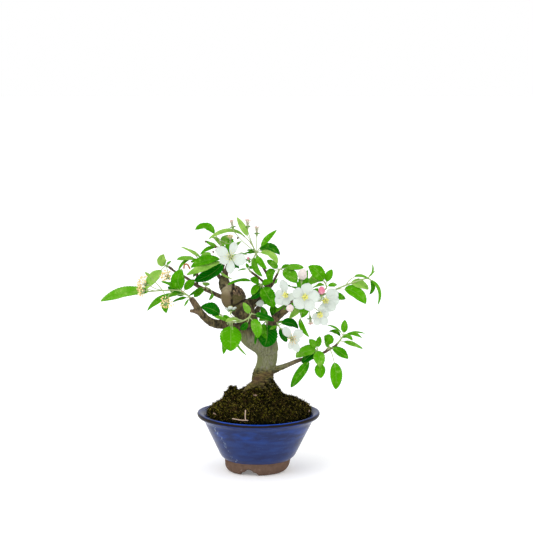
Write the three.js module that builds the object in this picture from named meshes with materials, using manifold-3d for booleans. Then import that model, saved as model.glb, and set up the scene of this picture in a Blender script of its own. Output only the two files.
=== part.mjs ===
// Crabapple bonsai in its round glazed pot. Millimetres, +Z up.
// The origin is on the surface the pot stands on, in the middle of the tree's spread.

import * as THREE from 'three';
import { mergeGeometries, mergeVertices } from 'three/addons/utils/BufferGeometryUtils.js';
import Module from 'manifold-3d';

const wasm = await Module();
wasm.setup();

// ---------------------------------------------------------------- driving dimensions

const POT_AXIS_X = 19.5; // the tree leans to the left, so its pot stands right of the middle
const GAP = 0.3; // clearance between pieces that touch
const FINEST = 0.01; // no step in a surface is shorter than this

const RIM_RADIUS = 75;
const RIM_HEIGHT = 71;
const MOUTH_RADIUS = 59.6;
const FOOT_RADIUS = 32.2;
const FOOT_BAND_HEIGHT = 15;
const FLOOR_BOTTOM = 7;
const FLOOR_TOP = 12;
const DRAIN_RADIUS = 7;
const FEET = 3;
const FOOT_CUT_ANGLE = -16; // degrees from the front, of the first of the cuts between the feet
const FOOT_CUT_HALF_WIDTH = 11;
const FOOT_CUT_HEIGHT = 7;

const NET_SIZE = 26;
const NET_THICKNESS = 1;
const NET_HOLES = 3; // along each side
const NET_HOLE_SIZE = 5;

const SOIL_TOP = 62.2;
const MOSS_RADIUS = 62.8;
const MOSS_TOP = 107;

const LEAF_RIB = 0.55; // how far the midrib stands above and below the blade's middle
const LEAF_ARCH = 0.1; // of a leaf's length
const LEAF_FOLD = 0.28; // how far the edges rise, of half the width
const LEAF_WAVE = 0.14;
const STALK_RADIUS = 0.55;
const PETAL_RIB = 0.45;
const BARK_RELIEF = 0.05;
const SPUR_RADIUS = 1.4;

// ---------------------------------------------------------------- placing and joining

const radians = THREE.MathUtils.degToRad;
const vector = ([x, y, z]) => new THREE.Vector3(x, y, z);
const UP = new THREE.Vector3(0, 0, 1);

/** The same scatter on every run, between 0 and 1. */
function scatter(index) {
  const s = Math.sin(index * 12.9898) * 43758.5453;
  return s - Math.floor(s);
}

/** Moves every vertex of a geometry to where place(vertex) puts it. */
function warp(geometry, place) {
  const positions = geometry.attributes.position;
  const vertex = new THREE.Vector3();
  for (let i = 0; i < positions.count; i += 1) {
    const moved = place(vertex.fromBufferAttribute(positions, i));
    positions.setXYZ(i, moved.x, moved.y, moved.z);
  }
  return geometry;
}

/** A closed geometry as a solid that can be joined and cut. */
function solid(geometry) {
  const bare = geometry.clone();
  bare.deleteAttribute('normal');
  bare.deleteAttribute('uv');
  const merged = mergeVertices(bare, 1e-4);
  const mesh = new wasm.Mesh({
    numProp: 3,
    vertProperties: merged.attributes.position.array,
    triVerts: new Uint32Array(merged.index.array),
  });
  return new wasm.Manifold(mesh);
}

const joined = (solids) => solids.reduce((whole, next) => whole.add(next));
const cut = (whole, tools) => tools.reduce((rest, tool) => rest.subtract(tool), whole);

/** A solid back as a geometry, without the loose scraps that joining may leave. */
function geometryOf(whole) {
  const [body] = whole
    .simplify(FINEST)
    .decompose()
    .sort((a, b) => b.volume() - a.volume());
  const mesh = body.getMesh();
  const geometry = new THREE.BufferGeometry();
  geometry.setAttribute('position', new THREE.BufferAttribute(mesh.vertProperties, 3));
  geometry.setIndex(new THREE.BufferAttribute(mesh.triVerts, 1));
  geometry.computeVertexNormals();
  return geometry;
}

// ---------------------------------------------------------------- limbs: wood and stalks

const smooth = (rows) => new THREE.CatmullRomCurve3(rows.map(vector));

/** The radius part-way along a limb whose rows end in a radius. */
function radiusAt(rows, t) {
  const place = t * (rows.length - 1);
  const row = Math.min(Math.floor(place), rows.length - 2);
  return THREE.MathUtils.lerp(rows[row][3], rows[row + 1][3], place - row);
}

/** A closed limb through rows of [x, y, z, radius]; relief(angle, t) raises its bark. */
function limb(rows, sides, stepsPerRow = 1, relief = () => 0) {
  const steps = (rows.length - 1) * stepsPerRow;
  const path = smooth(rows);
  const stations = [];
  let side = new THREE.Vector3(0, -1, 0.01);
  for (let step = 0; step <= steps; step += 1) {
    const along = path.getTangent(step / steps);
    side = side.clone().addScaledVector(along, -side.dot(along)).normalize();
    stations.push({ centre: path.getPoint(step / steps), side, other: along.clone().cross(side) });
  }
  const tube = new THREE.CylinderGeometry(1, 1, 1, sides, steps);
  return solid(
    warp(tube, (p) => {
      const t = p.y + 0.5;
      const { centre, side: a, other: b } = stations[Math.round(t * steps)];
      const angle = Math.atan2(p.z, p.x);
      const reach = Math.hypot(p.x, p.z) * radiusAt(rows, t) * (1 + relief(angle, t));
      return centre
        .clone()
        .addScaledVector(a, -reach * Math.cos(angle))
        .addScaledVector(b, reach * Math.sin(angle));
    })
  );
}

// ---------------------------------------------------------------- pot, net, soil, moss

function potProfile() {
  const outline = new THREE.Path();
  outline.moveTo(DRAIN_RADIUS, FLOOR_BOTTOM);
  outline.lineTo(FOOT_RADIUS - 5, FLOOR_BOTTOM);
  outline.lineTo(FOOT_RADIUS - 4, 0);
  outline.lineTo(FOOT_RADIUS, 0);
  outline.quadraticCurveTo(38, 1.2, 39.6, 8);
  outline.lineTo(40.4, FOOT_BAND_HEIGHT);
  outline.lineTo(42, FOOT_BAND_HEIGHT + 0.8);
  outline.lineTo(46.2, 20.8);
  outline.lineTo(65, 58.8);
  outline.quadraticCurveTo(66, 62, 68.6, 63.6);
  outline.lineTo(72, 65.2);
  outline.quadraticCurveTo(RIM_RADIUS + 0.5, 66.4, RIM_RADIUS, 69);
  outline.quadraticCurveTo(74.4, RIM_HEIGHT + 0.3, 72, RIM_HEIGHT - 0.4);
  outline.lineTo(64.5, 68.4);
  outline.quadraticCurveTo(60.8, 67.2, MOUTH_RADIUS, 63.4);
  outline.lineTo(38, FLOOR_TOP);
  outline.lineTo(DRAIN_RADIUS, FLOOR_TOP);
  outline.lineTo(DRAIN_RADIUS, FLOOR_BOTTOM);
  return outline.getPoints(2);
}

/** A lathe turned about +Z, closed where its profile closes. */
function turned(profile, segments) {
  return new THREE.LatheGeometry(profile, segments).rotateX(Math.PI / 2);
}

/** The bracket-shaped opening between two feet, pointing outwards at an angle from the front. */
function footCut(degrees) {
  const w = FOOT_CUT_HALF_WIDTH;
  const h = FOOT_CUT_HEIGHT;
  const bracket = new THREE.Shape();
  bracket.moveTo(-w, -1);
  bracket.lineTo(-w, 0);
  bracket.quadraticCurveTo(-w, h * 0.6, -w * 0.55, h * 0.5);
  bracket.quadraticCurveTo(-w * 0.4, h, 0, h);
  bracket.quadraticCurveTo(w * 0.4, h, w * 0.55, h * 0.5);
  bracket.quadraticCurveTo(w, h * 0.6, w, 0);
  bracket.lineTo(w, -1);
  const bar = new THREE.ExtrudeGeometry(bracket, { depth: 24, bevelEnabled: false, curveSegments: 3 });
  return solid(bar.rotateX(Math.PI / 2).translate(0, -22, 0).rotateZ(radians(degrees)));
}

function makePot() {
  const body = solid(turned(potProfile(), 30));
  const cuts = [...Array(FEET).keys()].map((i) => footCut(FOOT_CUT_ANGLE + (360 / FEET) * i));
  return cut(body, cuts);
}

function makeNet() {
  const pitch = NET_SIZE / (NET_HOLES + 0.4);
  const middle = FLOOR_TOP + GAP + NET_THICKNESS / 2;
  const sheet = new THREE.BoxGeometry(NET_SIZE, NET_SIZE, NET_THICKNESS).translate(0, 0, middle);
  const holes = [...Array(NET_HOLES * NET_HOLES).keys()].map((i) => {
    const x = ((i % NET_HOLES) - (NET_HOLES - 1) / 2) * pitch;
    const y = (Math.floor(i / NET_HOLES) - (NET_HOLES - 1) / 2) * pitch;
    return solid(new THREE.BoxGeometry(NET_HOLE_SIZE, NET_HOLE_SIZE, 9).translate(x, y, middle));
  });
  return cut(solid(sheet), holes);
}

// The trunk's foot and its surface roots, as [x, y, z, radius] rows.
const FOOT = [
  [3, 0, 46, 8],
  [3, 0, 58, 14],
  [3, 0, 74, 16],
  [4, 0, 89, 15.4],
  [5, 0, 104, 13.8],
  [6, 0, 114, 12.6],
];
const ROOTS = [
  [[0, -4, 109, 7.5], [-9, -8, 102, 6.5], [-18, -12, 94, 5], [-27, -14, 84, 3.5]],
  [[9, -6, 106, 5], [14, -13, 93, 4.5], [20, -21, 80, 3.2]],
  [[9, 6, 112, 5.5], [18, 13, 100, 5], [29, 22, 85, 3.4]],
  [[1, 6, 112, 5.5], [-7, 17, 99, 5], [-14, 30, 84, 3.4]],
];

/** The foot and roots, fattened by extra where they are the hole that they stand in. */
function rootStock(extra) {
  const fatten = (rows) => rows.map(([x, y, z, r]) => [x, y, z, r + extra]);
  const deeper = ([x, y, z, r]) => [x, y, z - extra, r];
  const foot = [deeper(FOOT[0]), ...FOOT.slice(1)];
  const roots = ROOTS.map((rows) => limb(fatten(extendedBy(rows, extra)), 6));
  return joined([limb(fatten(foot), 12), ...roots]);
}

/** The same rows with the last one moved on by a length, along the last stretch. */
function extendedBy(rows, length) {
  const end = vector(rows.at(-1));
  const step = end.clone().sub(vector(rows.at(-2))).normalize();
  end.addScaledVector(step, length);
  return [...rows.slice(0, -1), [end.x, end.y, end.z, rows.at(-1)[3]]];
}

function makeSoil(roots) {
  const top = MOUTH_RADIUS - 1.2;
  const profile = [
    new THREE.Vector2(0, FLOOR_TOP + NET_THICKNESS + 2 * GAP),
    new THREE.Vector2(37.6, FLOOR_TOP + NET_THICKNESS + 2 * GAP),
    new THREE.Vector2(top, SOIL_TOP),
    new THREE.Vector2(0, SOIL_TOP),
  ];
  return cut(solid(turned(profile, 28)), [roots]);
}

const MOSS_PAD = { x: -34, y: 6, reach: 8, rise: 13 }; // over the left root

/** The mound is fuller on the right, has a pad over the left root, and is lumpy all over. */
function mossPlace(p) {
  if (p.z < 70) {
    return p;
  }
  const radius = Math.hypot(p.x, p.y);
  const angle = Math.atan2(p.y, p.x);
  const shoulder = THREE.MathUtils.smoothstep(radius, 30, 58);
  const lumps =
    Math.sin(3 * angle + radius * 0.12) +
    Math.sin(7 * angle - radius * 0.21 + 2) * 0.7 +
    Math.sin(11 * angle + 1) * 0.4;
  const settled = THREE.MathUtils.smoothstep(p.z, 70, 84);
  const off = Math.hypot(p.x - MOSS_PAD.x, p.y - MOSS_PAD.y) / MOSS_PAD.reach;
  const pad = MOSS_PAD.rise * Math.exp(-(off ** 4));
  const lift = settled * (shoulder * 1.8 * Math.cos(angle) + lumps * 1.1 + pad);
  const pull = 1 + 0.008 * Math.sin(5 * angle + p.z) + 0.012 * Math.cos(angle);
  return new THREE.Vector3(p.x * pull, p.y * pull, p.z + lift);
}

function makeMoss(roots) {
  const outline = new THREE.Path();
  outline.moveTo(0, SOIL_TOP + GAP);
  outline.lineTo(MOUTH_RADIUS - 1.2, SOIL_TOP + GAP);
  outline.lineTo(MOUTH_RADIUS - 0.6, 64.8);
  outline.lineTo(MOSS_RADIUS - 4, 68.6);
  outline.lineTo(MOSS_RADIUS - 0.6, 69.6);
  outline.lineTo(MOSS_RADIUS, 73);
  outline.quadraticCurveTo(MOSS_RADIUS - 2, 80, MOSS_RADIUS - 12, 84);
  outline.lineTo(38, 89);
  outline.lineTo(27, 96);
  outline.quadraticCurveTo(14, MOSS_TOP - 1, 0, MOSS_TOP);
  const mound = warp(turned(outline.getPoints(2), 26), mossPlace);
  return cut(solid(mound), [roots]);
}

// ---------------------------------------------------------------- wood

// Centre lines as [x, y, z, radius] rows, from the trunk outwards.
const TRUNK = [
  [4.5, 0, 110, 13.2],
  [5.7, 0, 119, 12.6],
  [9, -1, 130, 11.8],
  [10.7, -3, 144, 12.6],
  [6, -6, 157, 15.2],
  [-8, -9, 169, 15.5],
  [-13, -11, 184, 12],
  [-18, -12, 197, 12],
  [-26, -13, 209, 12.6],
  [-31, -13, 219, 11],
];
const BOUGHS = {
  crown: [
    [-27, -10, 208, 8],
    [-37, -8, 222, 8],
    [-42, -6, 231, 6.5],
    [-43, -4, 237, 4],
    [-42, -2, 243, 2],
    [-43, 2, 249, 1.8],
  ],
  crownStub: [[-38, -7, 229, 4.5], [-31, -8, 230, 2.6], [-28, -9, 226, 2]],
  left: [
    [-3, -9, 171, 10],
    [-22, -12, 175, 7],
    [-33, -15, 179, 6.2],
    [-43, -18, 183, 5.8],
    [-52, -21, 184, 5.2],
    [-62, -24, 190, 4.6],
    [-70, -26, 199, 4.3],
    [-76, -28, 209, 4],
    [-80, -29, 215, 3.4],
  ],
  leftStub: [[-68, -26, 197, 4], [-76, -29, 200, 2.4], [-81, -30, 201, 2.1]],
  leftTwig: [
    [-30, -12, 213, 5],
    [-45, -6, 215, 2.8],
    [-60, 0, 221, 2.5],
    [-75, 6, 227, 2.2],
    [-88, 10, 236, 1.8],
    [-101, 12, 243, 1.5],
    [-107, 13, 247, 1.4],
  ],
  upperRight: [
    [-20, -10, 192, 9],
    [-10, -4, 205, 6.8],
    [-3, 2, 211, 5.6],
    [4, 7, 217, 4.4],
    [12, 10, 224, 3.2],
    [17, 11, 229, 2.4],
  ],
  topTwig: [[9, 9, 222, 2.6], [12, 8, 236, 1.9], [7, 5, 247, 1.6], [1, 0, 258, 1.4]],
  midTwig: [[9, 8, 226, 2], [4, 2, 234, 1.5], [-3, -2, 240, 1.3]],
  right: [
    [10.5, -6, 152, 14],
    [13, -9, 172, 8.5],
    [20, -12, 188, 5.2],
    [28, -14, 196, 4.4],
    [36, -15, 202, 3.8],
    [45, -15, 209, 2.8],
    [56, -14, 216, 2.2],
    [66, -13, 221, 1.8],
  ],
  lowRight: [
    [8, -1, 121, 6],
    [26, -8, 128, 3.6],
    [37, -12, 133, 2.9],
    [50, -16, 139, 2.5],
    [65, -19, 142, 2.1],
    [75, -21, 147, 1.8],
    [84, -22, 152, 1.6],
    [92, -22, 157, 1.4],
  ],
  backMid: [[-9, -9, 182, 9], [-6, 6, 189, 5], [-1, 20, 196, 3.4], [3, 32, 202, 2.2]],
  backRight: [[28, -14, 196, 4], [38, 4, 204, 2.8], [48, 20, 212, 2]],
  backTop: [[-34, -9, 218, 6], [-40, 8, 236, 3.4], [-38, 20, 252, 2]],
  backLeft: [[-34, -10, 216, 5], [-44, 10, 232, 2.8], [-56, 24, 246, 1.9]],
  backLow: [[4, -5, 160, 9], [12, 12, 168, 4], [17, 26, 175, 2.4]],
};
// The callused knob where the old leader was cut off: centre, half sizes.
const KNOB = [
  { centre: [-37, -18, 214], half: [8, 8, 12.5] },
  { centre: [-26, -15, 215.5], half: [10.5, 10.5, 15] },
];

/** Long shallow flutes that wind round the trunk. */
function bark(angle, t) {
  return BARK_RELIEF * (Math.sin(3 * angle + 7 * t) + 0.6 * Math.sin(5 * angle - 11 * t + 1));
}

function knobLobe({ centre, half }) {
  const lobe = new THREE.SphereGeometry(1, 9, 6).scale(...half);
  return solid(lobe.rotateY(radians(-12)).translate(...centre));
}

/** The short spur of wood that a shoot grows from, up to the shoot's gap. */
function spur({ wood: [from, to] }) {
  return limb([[...from, SPUR_RADIUS * 1.3], [...to, SPUR_RADIUS]], 4);
}

function makeTrunk(shoots) {
  const sides = (rows) => (rows[0][3] > 7 ? 7 : 5);
  const boughs = Object.values(BOUGHS).map((rows) => limb(rows, sides(rows)));
  const body = joined([rootStock(0), limb(TRUNK, 12, 1, bark), ...KNOB.map(knobLobe), ...boughs]);
  return joined([body, ...shoots.map(spur)]);
}

// ---------------------------------------------------------------- leaves and petals

const LEAF = {
  rows: [0, 0.05, 0.18, 0.32, 0.54, 0.79, 1],
  fewRows: [0, 0.06, 0.18, 0.38, 0.73, 1],
  short: 40, // leaves under this length have the fewer rows
  tinyRows: [0, 0.1, 0.42, 0.76, 1],
  tiny: 22,
  outline: (u) => Math.sin(Math.PI * u ** 0.85) ** 0.65,
  stalk: 0.18, // of the leaf's length
  rib: LEAF_RIB,
  arch: LEAF_ARCH,
  fold: LEAF_FOLD,
  wave: LEAF_WAVE,
};
const PETAL = {
  rows: [0, 0.1, 0.34, 0.64, 0.9, 1],
  outline: (u) => Math.sin(Math.PI * u ** 1.3) ** 0.6,
  stalk: 0.08,
  rib: PETAL_RIB,
  arch: -0.1,
  fold: 0.16,
  wave: 0.1,
};

/**
 * A closed blade between two points: two like grids, one for each face, that meet along both
 * edges and at both ends. Each row is folded about the rib, and its edges wave.
 */
function blade(kind, { from, to, face, width, seed = 0, bow = new THREE.Vector3(), stalk = kind.stalk }) {
  const length = from.distanceTo(to);
  const small = length < kind.tiny ? kind.tinyRows : kind.fewRows;
  const rows = (length < kind.short ? small : kind.rows).map((t) =>
    t <= kind.stalk ? (t * stalk) / kind.stalk : 1 - ((1 - t) * (1 - stalk)) / (1 - kind.stalk)
  );
  const arched = face.clone().multiplyScalar(kind.arch).add(bow);
  const bend = from.clone().lerp(to, 0.5).addScaledVector(arched, length);
  const spine = new THREE.QuadraticBezierCurve3(from, bend, to);
  const last = rows.length - 1;
  const place = (side, t) => {
    const along = spine.getTangent(t);
    const up = face.clone().addScaledVector(along, -face.dot(along)).normalize();
    const across = along.clone().cross(up);
    const spread = t > stalk ? kind.outline((t - stalk) / (1 - stalk)) : 0;
    const half = Math.max((width / 2) * spread, STALK_RADIUS);
    const ripple = kind.wave * Math.sin(seed * 5 + t * 9 + side * 1.7);
    return { centre: spine.getPoint(t), up, across, half, lift: spread * half * (kind.fold + ripple) };
  };
  const sheets = [1, -1].map((facing) => {
    const sheet = warp(new THREE.PlaneGeometry(2, last, 2, last), (p) => {
      const row = Math.round(p.y + last / 2);
      const { centre, up, across, half, lift } = place(p.x, rows[row]);
      if (row === 0 || row === last) {
        return centre;
      }
      const rise = p.x === 0 ? facing * kind.rib : lift;
      return centre.addScaledVector(across, p.x * half).addScaledVector(up, rise);
    });
    if (facing < 0) {
      sheet.index.array.reverse();
    }
    return sheet;
  });
  return solid(mergeGeometries(sheets));
}

/** A leaf from a point on a shoot to its tip; turn, in degrees, raises its upper face. */
function leaf(from, [tip, width, turn, bow = 0, stalk = LEAF.stalk], facing, seed) {
  const to = vector(tip);
  const along = to.clone().sub(from).normalize();
  const level = facing.clone().addScaledVector(along, -facing.dot(along)).normalize();
  const side = along.clone().cross(level);
  if (side.z < 0) {
    side.negate();
  }
  const angle = radians(turn);
  const face = level.multiplyScalar(Math.cos(angle)).addScaledVector(side, Math.sin(angle));
  return blade(LEAF, { from, to, face, width, seed, bow: side.multiplyScalar(bow), stalk });
}

// ---------------------------------------------------------------- flowers

const HUB_RADIUS = 2;
const HUB_HEIGHT = 0.9;
const PETALS = 5;
const PETAL_RISE = 18; // degrees above the flower's own plane
const CALYX_RADIUS = 1.9;
const BALL_RADIUS = 1.1; // of the cushion that the stamens stand on

/** Turns a geometry that stands along +Y to stand along an axis, and moves it to a point. */
function stood(geometry, axis, point) {
  const turn = new THREE.Quaternion().setFromUnitVectors(new THREE.Vector3(0, 1, 0), axis);
  return solid(geometry.applyQuaternion(turn).translate(point.x, point.y, point.z));
}

/** A flower's axis, the upward and the sideways direction of its plane, and points along it. */
function flowerFrame({ at, faces }) {
  const axis = vector(faces).normalize();
  const up = UP.clone().addScaledVector(axis, -UP.dot(axis)).normalize();
  const right = up.clone().cross(axis);
  const point = (height) => vector(at).addScaledVector(axis, height);
  const radial = (degrees) => {
    const angle = radians(degrees);
    return right.clone().multiplyScalar(Math.cos(angle)).addScaledVector(up, Math.sin(angle));
  };
  return { axis, point, radial };
}

/** The flower stalk, which widens into the calyx under the petals. */
function stalk(from, flower) {
  const { point } = flowerFrame(flower);
  const rows = [
    [...from.toArray(), STALK_RADIUS],
    [...point(-5).toArray(), STALK_RADIUS],
    [...point(-2.6).toArray(), CALYX_RADIUS * 0.75],
    [...point(0).toArray(), CALYX_RADIUS],
  ];
  return limb(rows, 4);
}

function petalRing(flower) {
  const { axis, point, radial } = flowerFrame(flower);
  const heart = point(GAP + HUB_HEIGHT / 2);
  const hub = new THREE.CylinderGeometry(HUB_RADIUS, HUB_RADIUS, HUB_HEIGHT, flower.petals.length);
  const slope = radians(PETAL_RISE);
  const ring = flower.petals.map(([degrees, length, width], i) => {
    const out = radial(degrees);
    const reach = out.clone().multiplyScalar(Math.cos(slope)).addScaledVector(axis, Math.sin(slope));
    const from = heart.clone().addScaledVector(out, HUB_RADIUS / 2);
    const to = heart.clone().addScaledVector(reach, length);
    const face = axis.clone().addScaledVector(reach, -axis.dot(reach)).normalize();
    return blade(PETAL, { from, to, face, width, seed: i });
  });
  return joined([stood(hub, axis, heart), ...ring]);
}

/** A tuft of stamens: a cushion above the calyx, with alternate points of two rows drawn out. */
function stamenTuft(flower, height, length) {
  const { axis, point } = flowerFrame(flower);
  const columns = 8;
  const column = (p) => Math.round((Math.atan2(p.z, p.x) * columns) / (2 * Math.PI)) + columns;
  const tuft = warp(new THREE.SphereGeometry(1, columns, 5), (p) => {
    const inner = p.y > 0.7 && p.y < 0.99 && column(p) % 2 === 0;
    const outer = p.y > 0.1 && p.y < 0.5 && column(p) % 2 === 1;
    return p.multiplyScalar(inner || outer ? length : BALL_RADIUS);
  });
  return stood(tuft, axis, point(height));
}

/** A closed bud: petals wrapped round each other in a low spiral. */
function closedBud(flower) {
  const { axis, point } = flowerFrame(flower);
  const half = flower.size / 2;
  const wrapped = warp(new THREE.SphereGeometry(1, 10, 5), (p) => {
    const angle = Math.atan2(p.z, p.x);
    const fold = 1 + 0.08 * Math.cos(PETALS * angle + 2 * p.y);
    const reach = half * 0.78 * fold * (1 - 0.12 * p.y);
    return new THREE.Vector3(p.x * reach, p.y * half, p.z * reach);
  });
  return stood(wrapped, axis, point(GAP + half));
}

// ---------------------------------------------------------------- leafy shoots

/*
 * Each shoot: wood is the spur on the trunk's side, from inside a bough to the bud; stem goes on
 * from there. A leaf row is [place along the stem from 0 to 1, tip, width, turn of its face up],
 * and where a leaf has them, how far it bows upwards and how long its stalk is, both of the
 * leaf's length. Blooms, buds and spent flowers have the top of their calyx, and the way they
 * face. A petal is [degrees round from the right, length, width].
 */
const SHOOTS = [
  {
    name: 'left_tip',
    wood: [[-76, -28, 209], [-81, -29, 216]],
    stem: [[-85, -31, 220], [-94, -35, 226], [-110, -40, 227], [-131, -45, 226]],
    leaves: [
      [1, [-187, -50, 215], 15, 10, 0.1, 0.05],
      [0.36, [-91, -30, 251], 17, 0, -0.45],
      [0.4, [-77, -24, 238], 10, 5],
      [0.45, [-116, -37, 237], 9, 40],
      [0.2, [-109, -22, 229], 9, -50],
      [0.3, [-132, -44, 203], 10, 25, 0.19],
      [0.6, [-109, -50, 201], 10, 0, 0.36, 0.4],
      [0.08, [-103, -24, 211], 5, 20],
      [0.8, [-135, -42, 249], 5, 20, 0, 0.65],
      [0, [-89, -30, 206], 2.5, 0],
    ],
    spent: [
      { from: 0.8, at: [-133, -52, 236], faces: [-0.8, -0.4, 0.4] },
      { from: 0.8, at: [-134, -56, 229], faces: [-0.9, -0.4, -0.1] },
      { from: 0.8, at: [-108, -54, 216], faces: [-0.1, -0.9, -0.3] },
    ],
  },
  {
    name: 'twig_tip',
    wood: [[-106, 12, 247], [-111, 13, 250]],
    stem: [[-113, 13, 251]],
    leaves: [
      [0.6, [-115, 10, 265], 12, 0, -0.58, 0.08],
      [1, [-138, -14, 223], 14, 15, 0, 0.24],
      [0, [-106, 8, 257], 3.5, 0],
    ],
    spent: [
      { from: 0.8, at: [-110, -4, 239], faces: [-0.4, -0.8, 0.3] },
    ],
  },
  {
    name: 'left_upper',
    wood: [[-75, 6, 227], [-74, 0, 257]],
    stem: [[-74, -1, 262]],
    leaves: [
      [0.5, [-99, -3, 260], 8, 20, 0],
      [1, [-94, -2, 275], 3, 0, 0.15],
      [0.3, [-97, -6, 246], 4, 0, 0.39, 0.35],
      [0.8, [-80, -8, 257], 5, 10],
      [1, [-78, 2, 270], 3.5, 0],
    ],
  },
  {
    name: 'crown',
    wood: [[-44, 2, 247], [-41, 4, 256]],
    stem: [[-40, 3, 261]],
    leaves: [
      [0.2, [-81, -22, 252], 13, 10, 0.14],
      [0.6, [-86, -30, 244], 12, 15, -0.06],
      [0.8, [-78, -14, 235], 17, 10, -0.28],
      [0, [-31, -12, 237], 5, 50, -0.84, 0.5],
      [0.5, [-23, -20, 251], 6, 10, 0, 0.4],
    ],
    blooms: [
      {
        from: 0.6,
        at: [-33, -36, 266],
        faces: [-0.1, -1, 0.25],
        petals: [[150, 20, 13.5], [72, 19.6, 10], [-16, 21, 15.5], [-87, 22, 10.5], [207, 14.5, 12]],
      },
    ],
  },
  {
    name: 'top_left',
    wood: [[-44, 2, 247], [-46, 12, 271]],
    stem: [[-47, 13, 279], [-54, 13, 290]],
    leaves: [
      [1, [-77, 10, 295], 11, 15, 0.53, 0.04],
      [0, [-65, 8, 282], 5, 0, -0.18, 0.25],
      [0, [-71, 4, 265], 5.5, 20, 0.18],
      [0.3, [-34, 6, 288], 11, 0],
      [0, [-59, 10, 286], 3, 0, 0.43],
    ],
    spent: [
      { from: 0.8, at: [-34, -4, 284], faces: [0, -0.3, 0.95] },
    ],
  },
  {
    name: 'top',
    wood: [[1, 0, 259], [-2, -3, 265]],
    stem: [[-3, -5, 269.5]],
    leaves: [
      [0.88, [-26, -12, 312], 7.5, 0, 0, 0.5],
      [0.8, [22, -6, 296], 7.5, 10, 0, 0.28],
      [0.6, [26, 4, 265], 14, 15, 0.45],
      [0.4, [23, -12, 256], 10, 20, 0.36],
      [0, [5, -10, 240], 8, 10, -0.45],
      [0, [10, -18, 250], 8, 0, -0.2],
      [0, [-60, -14, 286], 6.5, 20, 0.57, 0.36],
      [0.5, [-14, 2, 271], 7, 30],
      [0.3, [-18, -4, 267], 5, 40],
      [0.5, [-60, 2, 284], 7.5, 60, 0.53, 0.34],
    ],
    buds: [
      { from: 0.8, at: [-12, -14, 261], faces: [-0.2, -0.5, 0.9], size: 3.5 },
    ],
    spent: [
      { from: 0.8, at: [-31, -8, 300], faces: [-0.2, -0.2, 1] },
      { from: 0.8, at: [-13, -10, 301], faces: [0, -0.2, 1] },
      { from: 0.8, at: [-2, -4, 292], faces: [0, -0.1, 1] },
    ],
  },
  {
    name: 'twig_mid',
    wood: [[1, -2, 237], [-10, -6, 246]],
    stem: [[-12, -7, 249]],
    leaves: [
      [1, [-25, -10, 247], 3, 30],
      [1, [-15, -8, 256], 4, 0],
      [0.5, [-7, 0, 251], 5, 0],
    ],
  },
  {
    name: 'right_top',
    wood: [[17, 11, 229], [24, 11, 243]],
    stem: [[26, 11, 247]],
    leaves: [
      [0.5, [10, 7, 258], 9, 0],
      [0.4, [17, -5, 232], 10, 0, 0.68],
      [1, [46, 0, 231], 16, 0, 0.15],
      [1, [55, 8, 249], 10, 10, 0, 0.3],
      [0.8, [39, 18, 251], 6, 10],
    ],
  },
  {
    name: 'heart',
    wood: [[7, 6, 220], [4, -6, 229]],
    stem: [[2, -9, 231]],
    leaves: [
      [0.4, [19, -22, 204], 18, 0],
      [1, [-10, -14, 238], 10, 10],
      [0.6, [-8, -16, 218], 9, 0, 0.13],
      [0.2, [-37, -22, 231], 7, 35, 0.17, 0.3],
      [0.4, [-10, -14, 214], 9, 0, -0.42],
      [0.8, [16, -14, 234], 9, 10],
    ],
  },
  {
    name: 'front_shoot',
    wood: [[-35, -15, 179], [-37, -24, 185]],
    stem: [[-33, -31, 188], [-22, -39, 189], [-12, -42, 194], [-8, -42, 200]],
    leaves: [
      [0.25, [-33, -42, 154], 26, 0],
      [0.2, [-42, -33, 149], 9, 0],
      [0.3, [-14, -36, 148], 3, 30, -0.34, 0.45],
      [0.2, [-53, -29, 194], 6, 20],
      [0.55, [-39, -46, 190], 8, 30, 0.19],
      [0.9, [-18, -46, 213], 8, 0],
      [0.8, [-1, -50, 171], 13, 0, 0.27],
      [1, [19, -38, 190], 10, 15],
      [0.8, [-22, -34, 180], 8, 0, -0.36, 0.3],
    ],
    blooms: [
      {
        from: 0.6,
        at: [-33, -44, 203],
        faces: [-0.05, 0.45, 0.9],
        petals: [[10, 8, 6], [82, 8, 6], [154, 8, 6], [226, 8, 6], [298, 8, 6]],
      },
    ],
  },
  {
    name: 'trunk_front',
    wood: [[12, -9, 176], [10, -21, 186]],
    stem: [[9, -24, 188]],
    leaves: [
      [0.8, [10, -38, 168], 8, 0, -0.34],
      [0.2, [7, -28, 157], 25, 0, -0.18],
      [1, [4, -30, 206], 9, 0],
      [0, [-4, -37, 161], 4, 0, 0.19, 0.4],
    ],
  },
  {
    name: 'right_cluster',
    wood: [[50, -14, 212], [57, -20, 212]],
    stem: [[60, -22, 211]],
    leaves: [
      [0.8, [52, -26, 192], 11, 0],
      [0.6, [37, -20, 190], 9, 10],
      [0.6, [46, -12, 234], 12, 10, 0.12],
      [1, [61, -28, 169], 6.5, 15, -0.52, 0.5],
      [0.2, [30, -26, 202], 7, 30],
      [0.9, [72, -12, 226], 8, 10],
    ],
    blooms: [
      {
        from: 0.6,
        at: [33, -40, 221],
        faces: [-0.15, -1, 0.15],
        petals: [[102, 20, 10.5], [172, 13.5, 11], [222, 16, 13], [275, 13, 10], [-12, 12, 10]],
      },
      {
        from: 0.6,
        at: [55, -48, 220],
        faces: [0.05, -1, 0.1],
        petals: [[75, 18, 15], [4, 19, 15], [-63, 19, 14], [226, 18, 16], [152, 17, 14]],
      },
      {
        from: 0.6,
        at: [79, -28, 213],
        faces: [0.2, -0.95, 0.1],
        petals: [[40, 20, 16], [-2, 18, 14], [-45, 17, 14], [-98, 14, 12], [150, 11, 10]],
      },
      {
        from: 0.6,
        at: [73, -44, 200],
        faces: [0.05, -0.95, -0.25],
        petals: [[-108, 15, 10], [-60, 16, 11], [5, 12, 10], [210, 11, 9], [70, 12, 11]],
      },
    ],
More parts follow.
